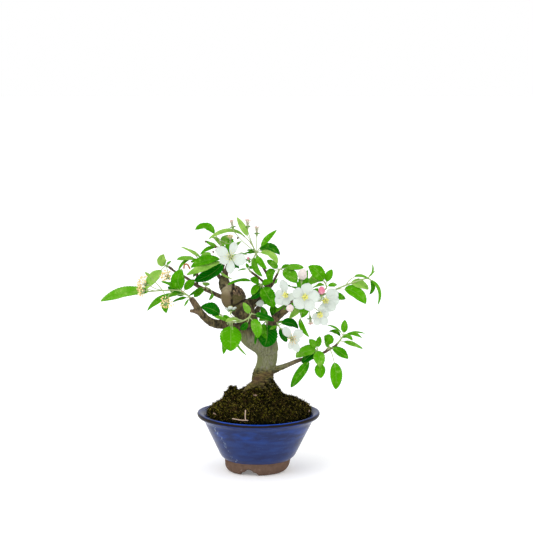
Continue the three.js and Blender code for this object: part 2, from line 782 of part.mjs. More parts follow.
    buds: [
      { from: 0.8, at: [52, -22, 237], faces: [0.12, -0.1, 1], size: 14 },
      { from: 0.8, at: [75, -50, 223], faces: [0, -0.2, 1], size: 10 },
      { from: 0.8, at: [39, -57, 208], faces: [-0.3, -0.9, 0.1], size: 11 },
    ],
    spent: [
      { from: 0.8, at: [62, -34, 192], faces: [0.1, -0.4, -0.9] },
    ],
  },
  {
    name: 'right_under',
    wood: [[20, -12, 189], [23, -21, 184]],
    stem: [[24, -24, 182]],
    leaves: [
      [1, [48, -20, 178], 12, 15, 0.4],
      [1, [34, -22, 162], 10, 0],
      [0.6, [13, -30, 178], 4, 0],
    ],
    blooms: [
      {
        from: 0.6,
        at: [40, -42, 169],
        faces: [0.1, -1, 0],
        petals: [[126, 19.5, 10], [42, 16.5, 12], [254, 13.5, 7], [-65, 17.5, 9.5], [-10, 10, 7]],
      },
    ],
  },
  {
    name: 'right_fold',
    wood: [[67, -13, 222], [75, -12, 223]],
    stem: [[82, -12, 226], [81, -12, 232]],
    leaves: [
      [1, [60, -16, 253], 16, 0, 0.14],
      [0.9, [61, -11, 229], 12, 0, 0.8],
      [0.9, [89, -4, 248], 9, 0, 0.05],
      [0.7, [95, -10, 230], 7, 20],
    ],
  },
  {
    name: 'far_right',
    wood: [[71, -12, 222], [80, -4, 218]],
    stem: [[95, -2, 224], [113, 0, 231], [126, 2, 235], [134, 3, 237]],
    leaves: [
      [0.05, [106, 4, 211], 9, 0],
      [0.22, [130, -4, 206], 16.5, 5, 0.33, 0.27],
      [0.48, [134, 8, 222], 12, 0, 0.21, 0.05],
      [0.4, [135, 2, 235], 5, 20, 0.48, 0.45],
      [1, [138, 2, 254], 2.5, 0, -0.36],
      [1, [135, 6, 216], 5.5, 0, 0.49],
      [1, [145, 0, 204], 4.5, 10, 0.4, 0.12],
      [0.95, [142, 8, 245], 2, 0],
    ],
  },
  {
    name: 'left_mid',
    wood: [[-60, 0, 221], [-62, -4, 225]],
    stem: [[-64, -6, 227]],
    leaves: [
      [0.5, [-78, -10, 215], 10, 10],
      [1, [-63, -2, 232], 9, 0],
      [0.2, [-60, -8, 211], 4, 0, 0.77, 0.6],
      [0.4, [-84, -14, 217], 4, 0],
    ],
  },
  {
    name: 'knob_leaf',
    wood: [[-43, -18, 183], [-45, -20, 192]],
    stem: [[-45, -21, 195]],
    leaves: [
      [1, [-69, -24, 205], 15, 0, 0.13, 0.1],
      [0.6, [-32, -22, 188], 5, 20],
      [0.3, [-56, -14, 194], 7, 10],
    ],
  },
  {
    name: 'low_1',
    wood: [[65, -19, 142], [70, -25, 149]],
    stem: [[71, -27, 154]],
    leaves: [
      [0.8, [45, -34, 145], 15, 10, 0.16, 0.08],
      [0.7, [52, -30, 138], 11, 0],
      [1, [61, -26, 166], 9, 0],
      [0.9, [75, -36, 134], 14, 0, 0, 0.1],
      [0.7, [75, -34, 120], 13, 0, 0, 0.5],
      [0.6, [39, -36, 109], 12, 0, 0, 0.33],
      [1, [74, -22, 169], 7, 0],
    ],
  },
  {
    name: 'low_2',
    wood: [[81, -22, 150], [84, -25, 155]],
    stem: [[85, -26, 157]],
    leaves: [
      [0.2, [93, -26, 105], 15, 0, 0.13, 0.4],
      [1, [79, -26, 170], 13, 10, 0.36],
      [0.6, [108, -30, 143], 11, 0, 0.08],
      [1, [83, -32, 173], 8, 20],
      [0.7, [79, -34, 164], 7, 0],
    ],
  },
  {
    name: 'low_tip',
    wood: [[92, -22, 156], [96, -22, 161]],
    stem: [[99, -22, 165], [103, -22, 171]],
    leaves: [
      [1, [104, -22, 189], 8.5, 0],
      [0.9, [82, -24, 183], 3.5, 30, 0.15],
      [0.3, [126, -18, 153], 7, 20],
      [0.8, [129, -14, 171], 3, 10, 0.18],
      [1, [125, -16, 166], 4.5, 0, 0.25],
      [0.5, [113, -30, 165], 6, 10, 0.54],
      [0.6, [85, -16, 174], 6, 20, 0.35],
    ],
  },
];

// Rosettes at the back of the crown, whose leaves spread round a direction by the golden angle.
const BACK_SHOOTS = [
  {
    name: 'back_mid',
    wood: [[3, 32, 202], [5, 37, 204]],
    grows: [0.15, 1, 0.35],
    leaves: 6,
    blooms: [
      {
        from: 0.6,
        at: [6, 25, 214],
        faces: [0.3, 0.1, 1],
        petals: [[20, 14, 10], [92, 15, 10], [164, 13, 10], [236, 14, 9], [308, 14, 10]],
      },
    ],
  },
  { name: 'back_right', wood: [[48, 20, 212], [52, 24, 214]], grows: [0.5, 1, 0.3], leaves: 6 },
  { name: 'back_top', wood: [[-38, 20, 252], [-36, 24, 255]], grows: [0.1, 1, 0.5], leaves: 6 },
  { name: 'back_left', wood: [[-56, 24, 246], [-60, 28, 248]], grows: [-0.5, 1, 0.2], leaves: 5 },
  { name: 'back_low', wood: [[17, 26, 175], [18, 30, 177]], grows: [0.2, 1, 0.2], leaves: 6 },
];
const BACK_LEAF_LENGTH = 32;
const BACK_LEAF_WIDTH = 14;
const GOLDEN_ANGLE = 137.5;

/** A back shoot's stem and leaves, worked out from the direction that it grows in. */
function backShoot({ grows, leaves, ...shoot }, index) {
  const along = vector(grows).normalize();
  const { radial } = flowerFrame({ at: [0, 0, 0], faces: grows });
  const end = vector(shoot.wood[1]).addScaledVector(along, 7);
  const rows = [...Array(leaves).keys()].map((i) => {
    const open = radians(28 + (52 * i) / leaves);
    const length = BACK_LEAF_LENGTH * (0.7 + 0.45 * scatter(index * 20 + i));
    const out = radial(i * GOLDEN_ANGLE + index * 40);
    const tip = end
      .clone()
      .addScaledVector(along, length * Math.cos(open))
      .addScaledVector(out, length * Math.sin(open));
    const width = BACK_LEAF_WIDTH * (0.8 + 0.5 * scatter(index * 20 + i + 9));
    return [1 - i / leaves, tip.toArray(), width, 0];
  });
  const faces = along.clone().multiplyScalar(0.4).addScaledVector(UP, 0.9).toArray();
  return { ...shoot, stem: [end.toArray()], leaves: rows, faces };
}

const SHOOT_GAP = 0.6; // from a spur's end to its shoot, which may set off at another angle
const SHOOT_CLEAR = 2.6; // the shortest way along a shoot to its lowest leaf stalk
const FRONT = [0, -0.87, 0.5]; // the way that leaf faces look where a shoot doesn't say

/** One shoot: its green stem, leaves, flower stalks and calyces as one solid. */
function makeShoot({ wood, stem, leaves, blooms = [], buds = [], spent = [], faces = FRONT }, index) {
  const bud = vector(wood[1]);
  const outwards = bud.clone().sub(vector(wood[0])).normalize();
  const start = bud.clone().addScaledVector(outwards, SHOOT_GAP);
  const points = [start.toArray(), ...stem];
  const rows = points.map((point, i) => [...point, 1.1 - (0.35 * i) / stem.length]);
  const path = smooth(rows);
  const facing = vector(faces).normalize();
  const lowest = SHOOT_CLEAR / path.getLength();
  const inside = (place) => Math.min(Math.max(place, lowest), 0.97);
  const blades = leaves.map(([place, ...shape], i) =>
    leaf(path.getPoint(inside(place)), shape, facing, index * 3 + i)
  );
  const stalks = [...blooms, ...buds, ...spent].map((flower) =>
    stalk(path.getPoint(inside(flower.from)), flower)
  );
  return joined([limb(rows, 4), ...blades, ...stalks]);
}

// ---------------------------------------------------------------- the bonsai

const MATERIALS = {
  glaze: { color: 0x1d3a94, roughness: 0.22, metalness: 0 },
  net: { color: 0x202124, roughness: 0.7, metalness: 0 },
  soil: { color: 0x3a2c1f, roughness: 1, metalness: 0 },
  moss: { color: 0x39401a, roughness: 1, metalness: 0 },
  bark: { color: 0x776d5a, roughness: 0.9, metalness: 0 },
  leaf: { color: 0x55a022, roughness: 0.5, metalness: 0 },
  petal: { color: 0xf4f4f2, roughness: 0.6, metalness: 0 },
  bud: { color: 0xf0b9c4, roughness: 0.6, metalness: 0 },
  stamen: { color: 0xe8d95a, roughness: 0.7, metalness: 0 },
  spent: { color: 0xdcc48c, roughness: 0.8, metalness: 0 },
};

const bonsai = new THREE.Group();
bonsai.position.x = POT_AXIS_X;

function add(name, whole, material) {
  const mesh = new THREE.Mesh(geometryOf(whole), new THREE.MeshStandardMaterial(MATERIALS[material]));
  mesh.name = name;
  bonsai.add(mesh);
}

const BLOOM_STAMENS = { height: 2.9, length: 7 };
const SPENT_STAMENS = { height: 1.4, length: 6.5 };

const shoots = [...SHOOTS, ...BACK_SHOOTS.map(backShoot)];
const rootHole = rootStock(GAP);

add('pot', makePot(), 'glaze');
add('drain_net', makeNet(), 'net');
add('soil', makeSoil(rootHole), 'soil');
add('moss', makeMoss(rootHole), 'moss');
add('trunk', makeTrunk(shoots), 'bark');
shoots.forEach((shoot, i) => add(`shoot_${shoot.name}`, makeShoot(shoot, i), 'leaf'));

const every = (kind) => shoots.flatMap((shoot) => shoot[kind] ?? []);
every('blooms').forEach((bloom, i) => {
  const { height, length } = BLOOM_STAMENS;
  add(`petals_${i + 1}`, petalRing(bloom), 'petal');
  add(`stamens_${i + 1}`, stamenTuft(bloom, height, length), 'stamen');
});
every('buds').forEach((flower, i) => add(`bud_${i + 1}`, closedBud(flower), 'bud'));
every('spent').forEach((flower, i) => {
  const { height, length } = SPENT_STAMENS;
  add(`spent_flower_${i + 1}`, stamenTuft(flower, height, length), 'spent');
});

const group = new THREE.Group();
group.add(bonsai);

export default group;
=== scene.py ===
"""Crabapple bonsai in a round glazed pot: the finished pieces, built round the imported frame.

Lengths in the tables are millimetres from the pot's axis and the surface that it stands on.
"""

import math
import random

import bmesh
import bpy
from mathutils import Matrix, Vector, noise
from mathutils.kdtree import KDTree


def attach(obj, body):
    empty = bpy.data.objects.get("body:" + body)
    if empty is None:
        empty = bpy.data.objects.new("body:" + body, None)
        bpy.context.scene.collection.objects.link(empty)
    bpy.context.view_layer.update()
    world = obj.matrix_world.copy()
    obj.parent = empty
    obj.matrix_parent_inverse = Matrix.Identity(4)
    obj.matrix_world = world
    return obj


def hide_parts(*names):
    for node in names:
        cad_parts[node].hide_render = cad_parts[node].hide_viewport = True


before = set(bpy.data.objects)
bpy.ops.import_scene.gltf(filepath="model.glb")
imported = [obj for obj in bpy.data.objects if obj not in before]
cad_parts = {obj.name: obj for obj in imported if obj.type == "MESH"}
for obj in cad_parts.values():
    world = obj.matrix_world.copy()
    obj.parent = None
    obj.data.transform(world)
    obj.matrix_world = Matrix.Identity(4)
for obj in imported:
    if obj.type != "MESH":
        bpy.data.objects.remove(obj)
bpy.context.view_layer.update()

# ------------------------------------------------------------------ the place and the light
# The bonsai stands on a white sheet, lit from beneath as well, in a white room. A soft lamp
# hangs high on the left, and a second, weaker one on the right.

MM = 0.001
POT_AXIS_X = 19.5  # the pot's axis is this far right of the middle of the tree's spread
EYE = (29.2, -2000, 470)
EYE_PITCH = 6.246  # degrees downwards
EYE_LENS = 112.07
EYE_IMAGE_WIDTH = 36


def frame_point(x, y, z):
    """A point in millimetres from the pot's axis, in the frame's metres."""
    return Vector((x + POT_AXIS_X, y, z)) * MM


def stood(name, data):
    """A new object in the scene, at its origin."""
    made = bpy.data.objects.new(name, data)
    bpy.context.scene.collection.objects.link(made)
    return made


camera = stood("camera", bpy.data.cameras.new("camera"))
camera.location = Vector(EYE) * MM
camera.rotation_euler = (math.radians(90 - EYE_PITCH), 0, 0)
camera.data.sensor_fit = "HORIZONTAL"
camera.data.sensor_width = EYE_IMAGE_WIDTH
camera.data.lens = EYE_LENS
bpy.context.scene.camera = camera

room = bpy.data.worlds.new("white room")
room.use_nodes = True
walls = room.node_tree.nodes["Background"]
walls.inputs["Color"].default_value = (1, 1, 1, 1)
walls.inputs["Strength"].default_value = 1
bpy.context.scene.world = room
bpy.context.scene.view_settings.view_transform = "Standard"


def soft_lamp(name, comes_from, softness, power):
    """A broad soft lamp, far off: softness in degrees, power in watts on each square metre."""
    lamp = stood(name, bpy.data.lights.new(name, "SUN"))
    lamp.data.angle = math.radians(softness)
    lamp.data.energy = power
    lamp.rotation_euler = Vector(comes_from).to_track_quat("Z", "Y").to_euler()


soft_lamp("left lamp", (-0.55, -0.8, 1), softness=45, power=1)
soft_lamp("right lamp", (0.9, -0.5, 0.6), softness=40, power=0.3)


class Value:
    """A number, colour or vector carried by a finish's nodes, used in plain expressions."""

    def __init__(self, finish, socket):
        self.finish = finish
        self.socket = socket

    def maths(self, operation, *others):
        """A Math node on this value and the others."""
        return self.finish.maths(operation, self, *others)

    def __add__(self, other):
        return self.maths("ADD", other)

    def __sub__(self, other):
        return self.maths("SUBTRACT", other)

    def __rsub__(self, other):
        return self.finish.maths("SUBTRACT", other, self)

    def __mul__(self, other):
        return self.maths("MULTIPLY", other)

    def __truediv__(self, other):
        return self.maths("DIVIDE", other)

    def __pow__(self, other):
        return self.maths("POWER", other)

    __radd__ = __add__
    __rmul__ = __mul__


class Finish:
    """A material under construction: a Principled surface and the nodes that feed it."""

    def __init__(self, name, **constants):
        self.material = bpy.data.materials.new(name)
        self.material.use_nodes = True
        self.tree = self.material.node_tree
        self.surface = self.tree.nodes["Principled BSDF"]
        self.set(**constants)

    def put(self, socket, value):
        """Links a value to a socket, or sets the socket to a number or colour."""
        if isinstance(value, Value):
            self.tree.links.new(value.socket, socket)
        elif socket.type == "RGBA" and len(value) == 3:
            socket.default_value = (*value, 1)
        else:
            socket.default_value = value

    def node(self, kind, settings=None, values=None, output=0):
        """A node with its settings and the values of its sockets; gives one of its outputs."""
        made = self.tree.nodes.new(kind)
        for name, setting in (settings or {}).items():
            setattr(made, name, setting)
        for name, value in (values or {}).items():
            self.put(made.inputs[name], value)
        return Value(self, made.outputs[output])

    def maths(self, operation, *values):
        """A Math node."""
        return self.node("ShaderNodeMath", {"operation": operation}, dict(enumerate(values)))

    def place(self, stretch=(1, 1, 1)):
        """Object coordinates, in metres, stretched along the axes."""
        where = self.node("ShaderNodeTexCoord", output="Object")
        return self.node("ShaderNodeMapping", values={"Vector": where, "Scale": stretch})

    def along(self, axis, where):
        """One coordinate of a vector: 0, 1 or 2."""
        return self.node("ShaderNodeSeparateXYZ", values={0: where}, output=axis)

    def noise(self, where, size, detail=3, roughness=0.55):
        """Cloudy noise from 0 to 1 whose lumps are about as large as size, in millimetres."""
        values = {"Vector": where, "Scale": 1000 / size, "Detail": detail, "Roughness": roughness}
        return self.node("ShaderNodeTexNoise", values=values)

    def cells(self, where, size):
        """Distance from the nearest of many scattered points, 0 at the point."""
        return self.node("ShaderNodeTexVoronoi", values={"Vector": where, "Scale": 1000 / size})

    def step(self, value, low, high):
        """0 below low and 1 above high, with a smooth step between; low may be the larger."""
        values = {"Value": value, "From Min": low, "From Max": high}
        return self.node("ShaderNodeMapRange", {"interpolation_type": "SMOOTHSTEP"}, values)

    def mix(self, mask, low, high):
        """A colour between two colours."""
        values = {0: mask, 6: low, 7: high}
        return self.node("ShaderNodeMix", {"data_type": "RGBA"}, values, output=2)

    def over(self, under, colour, value, low, high, share=1):
        """A colour laid over another where a value has stepped from low to high, by a share."""
        mask = self.step(value, low, high)
        return self.mix(mask if share == 1 else mask * share, under, colour)

    def painted(self, name):
        """A number painted on the piece's points."""
        return self.node("ShaderNodeAttribute", {"attribute_name": name}, output="Fac")

    def relief(self, height, distance):
        """Surface normals raised by a height from 0 to 1, over a distance in millimetres."""
        values = {"Height": height, "Distance": distance * MM, "Strength": 1}
        return self.node("ShaderNodeBump", values=values)

    def set(self, **values):
        """Feeds the surface's sockets, named with _ for a space."""
        for socket, value in values.items():
            self.put(self.surface.inputs[socket.replace("_", " ")], value)

    def let_through(self, share, colour):
        """Lets a share of the light through the sheet, tinted with a colour."""
        through = self.node("ShaderNodeBsdfTranslucent", values={"Color": colour})
        lit = Value(self, self.surface.outputs[0])
        both = self.node("ShaderNodeMixShader", values={0: share, 1: lit, 2: through})
        self.put(self.tree.nodes["Material Output"].inputs["Surface"], both)


def mottled(name, size, detail, dark, light, rise=0, **constants):
    """A finish clouded between two colours, and raised where it is light."""
    finish = Finish(name, **constants)
    cloud = finish.noise(finish.place(), size, detail)
    finish.set(Base_Color=finish.mix(cloud, dark, light))
    if rise:
        finish.set(Normal=finish.relief(cloud, rise))
    return finish


paper = mottled(
    "white sheet", 400, 3, (0.9, 0.9, 0.9), (0.93, 0.93, 0.93),
    Roughness=0.9, Emission_Color=(1, 1, 1), Emission_Strength=0.19,
)

sheet_mesh = bmesh.new()
bmesh.ops.create_grid(sheet_mesh, x_segments=2, y_segments=2, size=60)
floor = stood("white_sheet", bpy.data.meshes.new("white_sheet"))
sheet_mesh.to_mesh(floor.data)
floor.data.materials.append(paper.material)

# ------------------------------------------------------------------ pot
# A thrown stoneware pot with a flared flange and a bare foot ring cut into three feet. Cobalt
# glaze covers it inside and out down to the foot, and breaks dark brown where it thins over
# the rim.

RIM_RADIUS = 75
RIM_HEIGHT = 71
FOOT_BAND_HEIGHT = 15
FOOT_CUT_ANGLE = -16  # degrees from the front, of the first of the cuts between the feet
FOOT_CUT_HALF_WIDTH = 11
FOOT_CUT_HEIGHT = 7
FOOT_CUT_SHOULDER = 0.55  # of the half width, where the bracket's arch meets its shoulders
FOOT_RING_INSIDE = 28
FEET = 3
SIDE_LIFT = 2.6  # the flange warped in the kiln: its left and right stand this much higher
SIDE_LIFT_FROM = 60
THROWN_WOBBLE = 0.0025  # of the radius
POT_LEAN = 1.2  # how far left of the rim the base is
FOOT_SHIFT = 1.3  # and the foot band under it
POT_SEGMENTS = 180
# Straight stretches have two numbers, rounded ones a control point before their end.
POT_OUTLINE = [
    (7, 7), (17, 7), (27.6, 7), (28.1, 6.4), (28.6, 3), (28.8, 0.4), (29.3, 0), (31.8, 0),
    ((37.6, 1.2), (39.4, 8)), (40, 12), (40.4, 14.6), ((40.8, 15.6), (41.6, 16)), (42.5, 16.8),
    (44.5, 18.6), (46.3, 21), (51.3, 31), (55.4, 39.4), (59.6, 47.8), (63.3, 55.4), (65, 58.9),
    ((66, 61.9), (68.6, 63.5)), (72, 65.2), ((74.9, 66.4), (75, 68.8)),
    ((74.6, 71.1), (72, 70.7)), (68, 69.6), (64.5, 68.3), ((60.8, 67.1), (59.4, 63.2)),
    (54, 50), (46, 31), (40, 16.6), ((38.4, 12.2), (35, 12)), (20, 12), (7, 12), (7, 7),
]


def outline_points(outline, steps=6):
    """The outline with each rounded stretch drawn as a quadratic curve."""
    points = []
    for entry in outline:
        if isinstance(entry[0], tuple):
            start, (bend, end) = points[-1], entry
            for step in range(1, steps + 1):
                t = step / steps
                weights = ((1 - t) ** 2, 2 * t * (1 - t), t * t)
                points.append(tuple(
                    sum(w * at for w, at in zip(weights, places)) for places in zip(start, bend, end)
                ))
        else:
            points.append(entry)
    return points


def closed(shape):
    """Merges the seams in a bmesh and turns its faces outwards."""
    bmesh.ops.remove_doubles(shape, verts=shape.verts, dist=1e-4)
    bmesh.ops.recalc_face_normals(shape, faces=shape.faces)
    return shape


def spun(outline, segments):
    """An outline of (radius, height) points turned about the z axis, from a rolled grid.

    Spin leaves its faces in a different order from one build to the next, and the moss is planted
    face by face.
    """
    stretches = len(outline) - 1
    turned = bmesh.new()
    bmesh.ops.create_grid(turned, x_segments=stretches, y_segments=segments, size=0.5)
    for vert in turned.verts:
        radius, height = outline[round((vert.co.x + 0.5) * stretches)]
        angle = math.tau * round((vert.co.y + 0.5) * segments) / segments
        vert.co = (radius * math.cos(angle), radius * math.sin(angle), height)
    return closed(turned)


def foot_cut(side):
    """Height of the bracket-shaped opening between two feet, at a distance from its middle."""
    share = abs(side) / FOOT_CUT_HALF_WIDTH
    if share >= 1:
        return 0
    if share > FOOT_CUT_SHOULDER:
        along = (share - FOOT_CUT_SHOULDER) / (1 - FOOT_CUT_SHOULDER)
        return 0.5 * FOOT_CUT_HEIGHT * math.sqrt(1 - along**2)
    return FOOT_CUT_HEIGHT * (1 - 0.5 * (share / FOOT_CUT_SHOULDER) ** 2)


def piece(name, shape, finishes, slot, *nodes):
    """Makes a bmesh in millimetres one finished piece of the frame, and frees the bmesh."""
    to_frame = Matrix.Translation(frame_point(0, 0, 0)) @ Matrix.Scale(MM, 4)
    bmesh.ops.transform(shape, matrix=to_frame, verts=shape.verts)
    mesh = bpy.data.meshes.new(name)
    shape.to_mesh(mesh)
    shape.free()
    mesh.shade_smooth()
    for finish in finishes:
        mesh.materials.append(finish.material)
    made = stood(name, mesh)
    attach(made, "root")
    if nodes:
        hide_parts(*nodes)
    return made


pot_shape = spun(outline_points(POT_OUTLINE), POT_SEGMENTS)
for vert in pot_shape.verts:
    x, y, z = vert.co
    radius = math.hypot(x, y)
    if z < FOOT_BAND_HEIGHT and radius > FOOT_RING_INSIDE:
        for cut in range(FEET):
            turn = math.atan2(x, -y) - math.radians(FOOT_CUT_ANGLE + 360 / FEET * cut)
            if math.cos(turn) > 0:
                rise = foot_cut(radius * math.sin(turn))
                vert.co.z += rise * (1 - z / FOOT_BAND_HEIGHT)
    vert.co.xy *= 1 + THROWN_WOBBLE * min(noise.noise(Vector((x, y, z * 3)) * 0.03), 0)
    up_flange = max(z - SIDE_LIFT_FROM, 0) / (RIM_HEIGHT - SIDE_LIFT_FROM)
    vert.co.z += SIDE_LIFT * (x / RIM_RADIUS) ** 2 * up_flange
    vert.co.x -= POT_LEAN * (1 - z / RIM_HEIGHT) + FOOT_SHIFT * max(1 - z / FOOT_BAND_HEIGHT, 0)

glaze = Finish("cobalt glaze", Coat_Roughness=0.06, Coat_IOR=1.36, Specular_IOR_Level=0.03)
where = glaze.place()
height = glaze.along(2, where)
side = glaze.along(0, where) - POT_AXIS_X * MM
depth = glaze.along(1, where)
from_axis = (side * side + depth * depth) ** 0.5
brushed = glaze.noise(glaze.place((1, 1, 4)), 28, 4)
pooled = glaze.noise(glaze.place((1, 1, 1.6)), 9, 4)
flecks = glaze.noise(glaze.place((1, 1, 0.6)), 1.8, 3, 0.7)
blue = glaze.over((0.012, 0.02, 0.08), (0.016, 0.038, 0.155), brushed, 0.3, 0.7)
# Painted highlight: brighter blue patches painted on the shoulder band, in place of reflections in
# the glaze.
shoulder = glaze.step(height, 0.043, 0.05) * glaze.step(height, 0.062, 0.056)
blue = glaze.mix(shoulder * glaze.step(brushed, 0.44, 0.62) * 0.5, blue, (0.01, 0.048, 0.27))
blue = glaze.over(blue, (0.04, 0.07, 0.16), flecks, 0.58, 0.7, 0.3)
# Painted light: the front of the flange top is painted a brighter blue than its sides and back.
front_rim_painted_light = glaze.step(height, 0.066, 0.068) * glaze.step(depth, -0.05, -0.062)
blue = glaze.mix(front_rim_painted_light, blue, (0.004, 0.06, 0.42))
# Painted reflection: a thin pale streak painted down the front of the body, left of the middle.
painted_reflection_streak = ((side + 0.0165 + height * 0.6) * -1 + (pooled - 0.5) * 0.012).maths("ABSOLUTE")
painted_reflection_streak = glaze.step(painted_reflection_streak, 0.0019, 0.0004) * glaze.step(depth, 0, -0.01) * glaze.step(flecks, 0.46, 0.56)
painted_reflection_streak = painted_reflection_streak * glaze.step(glaze.noise(where, 5, 2), 0.42, 0.54)
blue = glaze.mix(painted_reflection_streak * 0.75, blue, (0.26, 0.34, 0.46))
flange = glaze.step(height, 0.0635, 0.066)
thin = glaze.step(from_axis + pooled * 0.8 * MM, 0.0741, 0.0752)
colour = glaze.mix(thin, blue, (0.012, 0.008, 0.007))
edge = height + (brushed - 0.5) * 1.8 * MM
bare = glaze.step(edge, (FOOT_BAND_HEIGHT + 0.9) * MM, (FOOT_BAND_HEIGHT + 0.5) * MM)
toasted = glaze.noise(where, 5, 5, 0.65)
clay = glaze.mix(toasted, (0.064, 0.038, 0.028), (0.205, 0.13, 0.092))
worn = glaze.step(toasted, 0.58, 0.72) * glaze.step(height, 0.012, 0.006)
clay = glaze.mix(worn * 0.5, clay, (0.3, 0.28, 0.27))
pits = glaze.noise(where, 0.9, 4, 0.7)
glaze.set(
    Base_Color=glaze.mix(bare, colour, clay),
    Roughness=bare * 0.45 + 0.38,
    Coat_Weight=(1 - bare) * (0.5 - thin * 0.2 - flange * 0.15),
    Normal=glaze.relief(brushed * 0.25 + pooled * 0.3 + pits * bare * 1.5, 0.28),
)
piece("glazed_pot", pot_shape, [glaze], "glaze", "pot")

# ------------------------------------------------------------------ drain net and soil
# A square of moulded plastic net lies over the drain hole and keeps the soil in. The soil is
# dark, damp grit that fills the pot; little of it shows under the moss.

net = mottled(
    "black plastic net", 0.6, 3, (0.012, 0.012, 0.013), (0.03, 0.03, 0.032), 0.05, Roughness=0.6
)
soil = Finish("damp grit", Roughness=0.95)
grains = soil.cells(soil.place(), 2.4)
soil_tone = soil.noise(soil.place(), 5)
soil.set(
    Base_Color=soil.mix(grains * soil_tone, (0.012, 0.008, 0.005), (0.09, 0.055, 0.03)),
    Normal=soil.relief(1 - grains, 1),
)
for node, finish in (("drain_net", net), ("soil", soil)):
    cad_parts[node].data.materials.clear()
    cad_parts[node].data.materials.append(finish.material)

# ------------------------------------------------------------------ moss
# A mound of living moss pressed over the soil round the trunk's foot: dark matted stems with
# olive and yellow-green tips, threaded with dead brown needles and a few bits of pale twig.

MOSS_OUTLINE = [
    (0.01, 62.5), (30, 62.5), (58.4, 62.5), (59, 64.8), (59.6, 68.6), (61.4, 69.6), (61.8, 73),
    ((60.2, 79), (51.2, 81.5)), (45, 84), (38, 87), (32, 90.5), (27, 94.4),
    ((14, 105), (0.01, 106.5)), (0.01, 62.5),
]
MOSS_HUMP = (-34, 6, 8, 12.5)  # a pad of moss over the left root: place, reach and height
MOSS_RADIUS = 60
MOSS_SIDEWAYS = 0.012  # of the radius, that the mound spreads where it is lumpy and to the right
MOSS_LUMPS = 1.9
MOSS_WAVES = 1.1
MOSS_SHOULDER = 1.8  # how much fuller the mound's edge is on the right
EVEN_BELOW = 64  # the mound is cut straight under this height
LUMPY_ABOVE = (70, 76)
LIFTED_ABOVE = (70, 84)
PLANTED_ABOVE = 66
SPRIG_LEAVES = (1.15, 0.4)  # of the sprig's length: its inmost leaf, and how much less the last
SPRIG_SIZES = (0.7, 1.3)
SPRIG_CROWD = (1.1, 1.9)  # sprigs to a square of their spacing: evenly, and more in a clump
FEWEST_SPRIGS = 0.15
GOLDEN_ANGLE = 137.5  # degrees from one leaf to the next


def smooth_step(value, low, high):
    """0 below low and 1 above high, with a smooth step between."""
    share = min(max((value - low) / (high - low), 0), 1)
    return share * share * (3 - 2 * share)


def moss_lift(x, y, z):
    """The mound is fuller on the right, has a pad over the left root, and is lumpy all over."""
    radius = math.hypot(x, y)
    angle = math.atan2(y, x)
    lumps = (
        math.sin(3 * angle + radius * 0.12)
        + math.sin(7 * angle - radius * 0.21 + 2) * 0.7
        + math.sin(11 * angle + 1) * 0.4
    )
    shoulder = smooth_step(radius, 30, 58) * MOSS_SHOULDER * math.cos(angle)
    hump_x, hump_y, reach, rise = MOSS_HUMP
    pad = rise * math.exp(-(((x - hump_x) ** 2 + (y - hump_y) ** 2) / reach**2) ** 2)
    return smooth_step(z, *LIFTED_ABOVE) * (shoulder + lumps * MOSS_WAVES + pad)


mound = spun(outline_points(MOSS_OUTLINE, 8), 120)
for vert in mound.verts:
    x, y, z = vert.co
    if z > EVEN_BELOW:
        lumpy = noise.noise(Vector((x, y, z)) * 0.16) + 0.9 * noise.noise(Vector((x, y, z)) * 0.34)
        vert.co.z += moss_lift(x, y, z) + MOSS_LUMPS * lumpy * smooth_step(z, *LUMPY_ABOVE)
        vert.co.xy *= 1 - MOSS_SIDEWAYS * max(lumpy, -0.5) + MOSS_SIDEWAYS * x / MOSS_RADIUS
mound.normal_update()

moss_bed = Finish("matted moss", Roughness=1, Specular_IOR_Level=0)
where = moss_bed.place()
strands = moss_bed.noise(moss_bed.place((1.6, 1.6, 0.7)), 2.2, 5, 0.7)
patches = moss_bed.noise(where, 16, 3)
bed = moss_bed.over((0.005, 0.005, 0.002), (0.035, 0.035, 0.009), strands, 0.35, 0.75)
bed = moss_bed.over(bed, (0.035, 0.022, 0.01), patches, 0.5, 0.75, 0.6)
moss_bed.set(Base_Color=bed, Normal=moss_bed.relief(strands, 1.6))


def sprig(name, spikes, length, width, lean):
    """A rosette of pointed leaves, with their height from root to tip as its tone."""
    made = bmesh.new()
    tone = made.verts.layers.float.new("tone")
    for spike in range(spikes):
        share = (spike + 0.5) / spikes
        tilt = Matrix.Rotation(math.radians(lean[0] + (lean[1] - lean[0]) * share), 4, "X")
        turn = Matrix.Rotation(math.radians(GOLDEN_ANGLE) * spike, 4, "Z")
        reach = length * (SPRIG_LEAVES[0] - SPRIG_LEAVES[1] * share)
        stand = turn @ tilt @ Matrix.Translation((0, 0, reach / 2))
        made_now = bmesh.ops.create_cone(
            made, cap_ends=True, segments=3, radius1=width, radius2=0, depth=reach, matrix=stand
        )
        for vert in made_now["verts"]:
            vert[tone] = min(max(vert.co.length / length, 0), 1)
    mesh = bpy.data.meshes.new(name)
    made.to_mesh(mesh)
    made.free()
    return mesh


def upright(direction):
    """A turn that stands a shape's z axis up along a direction."""
    return direction.to_track_quat("Z", "Y").to_matrix().to_4x4()


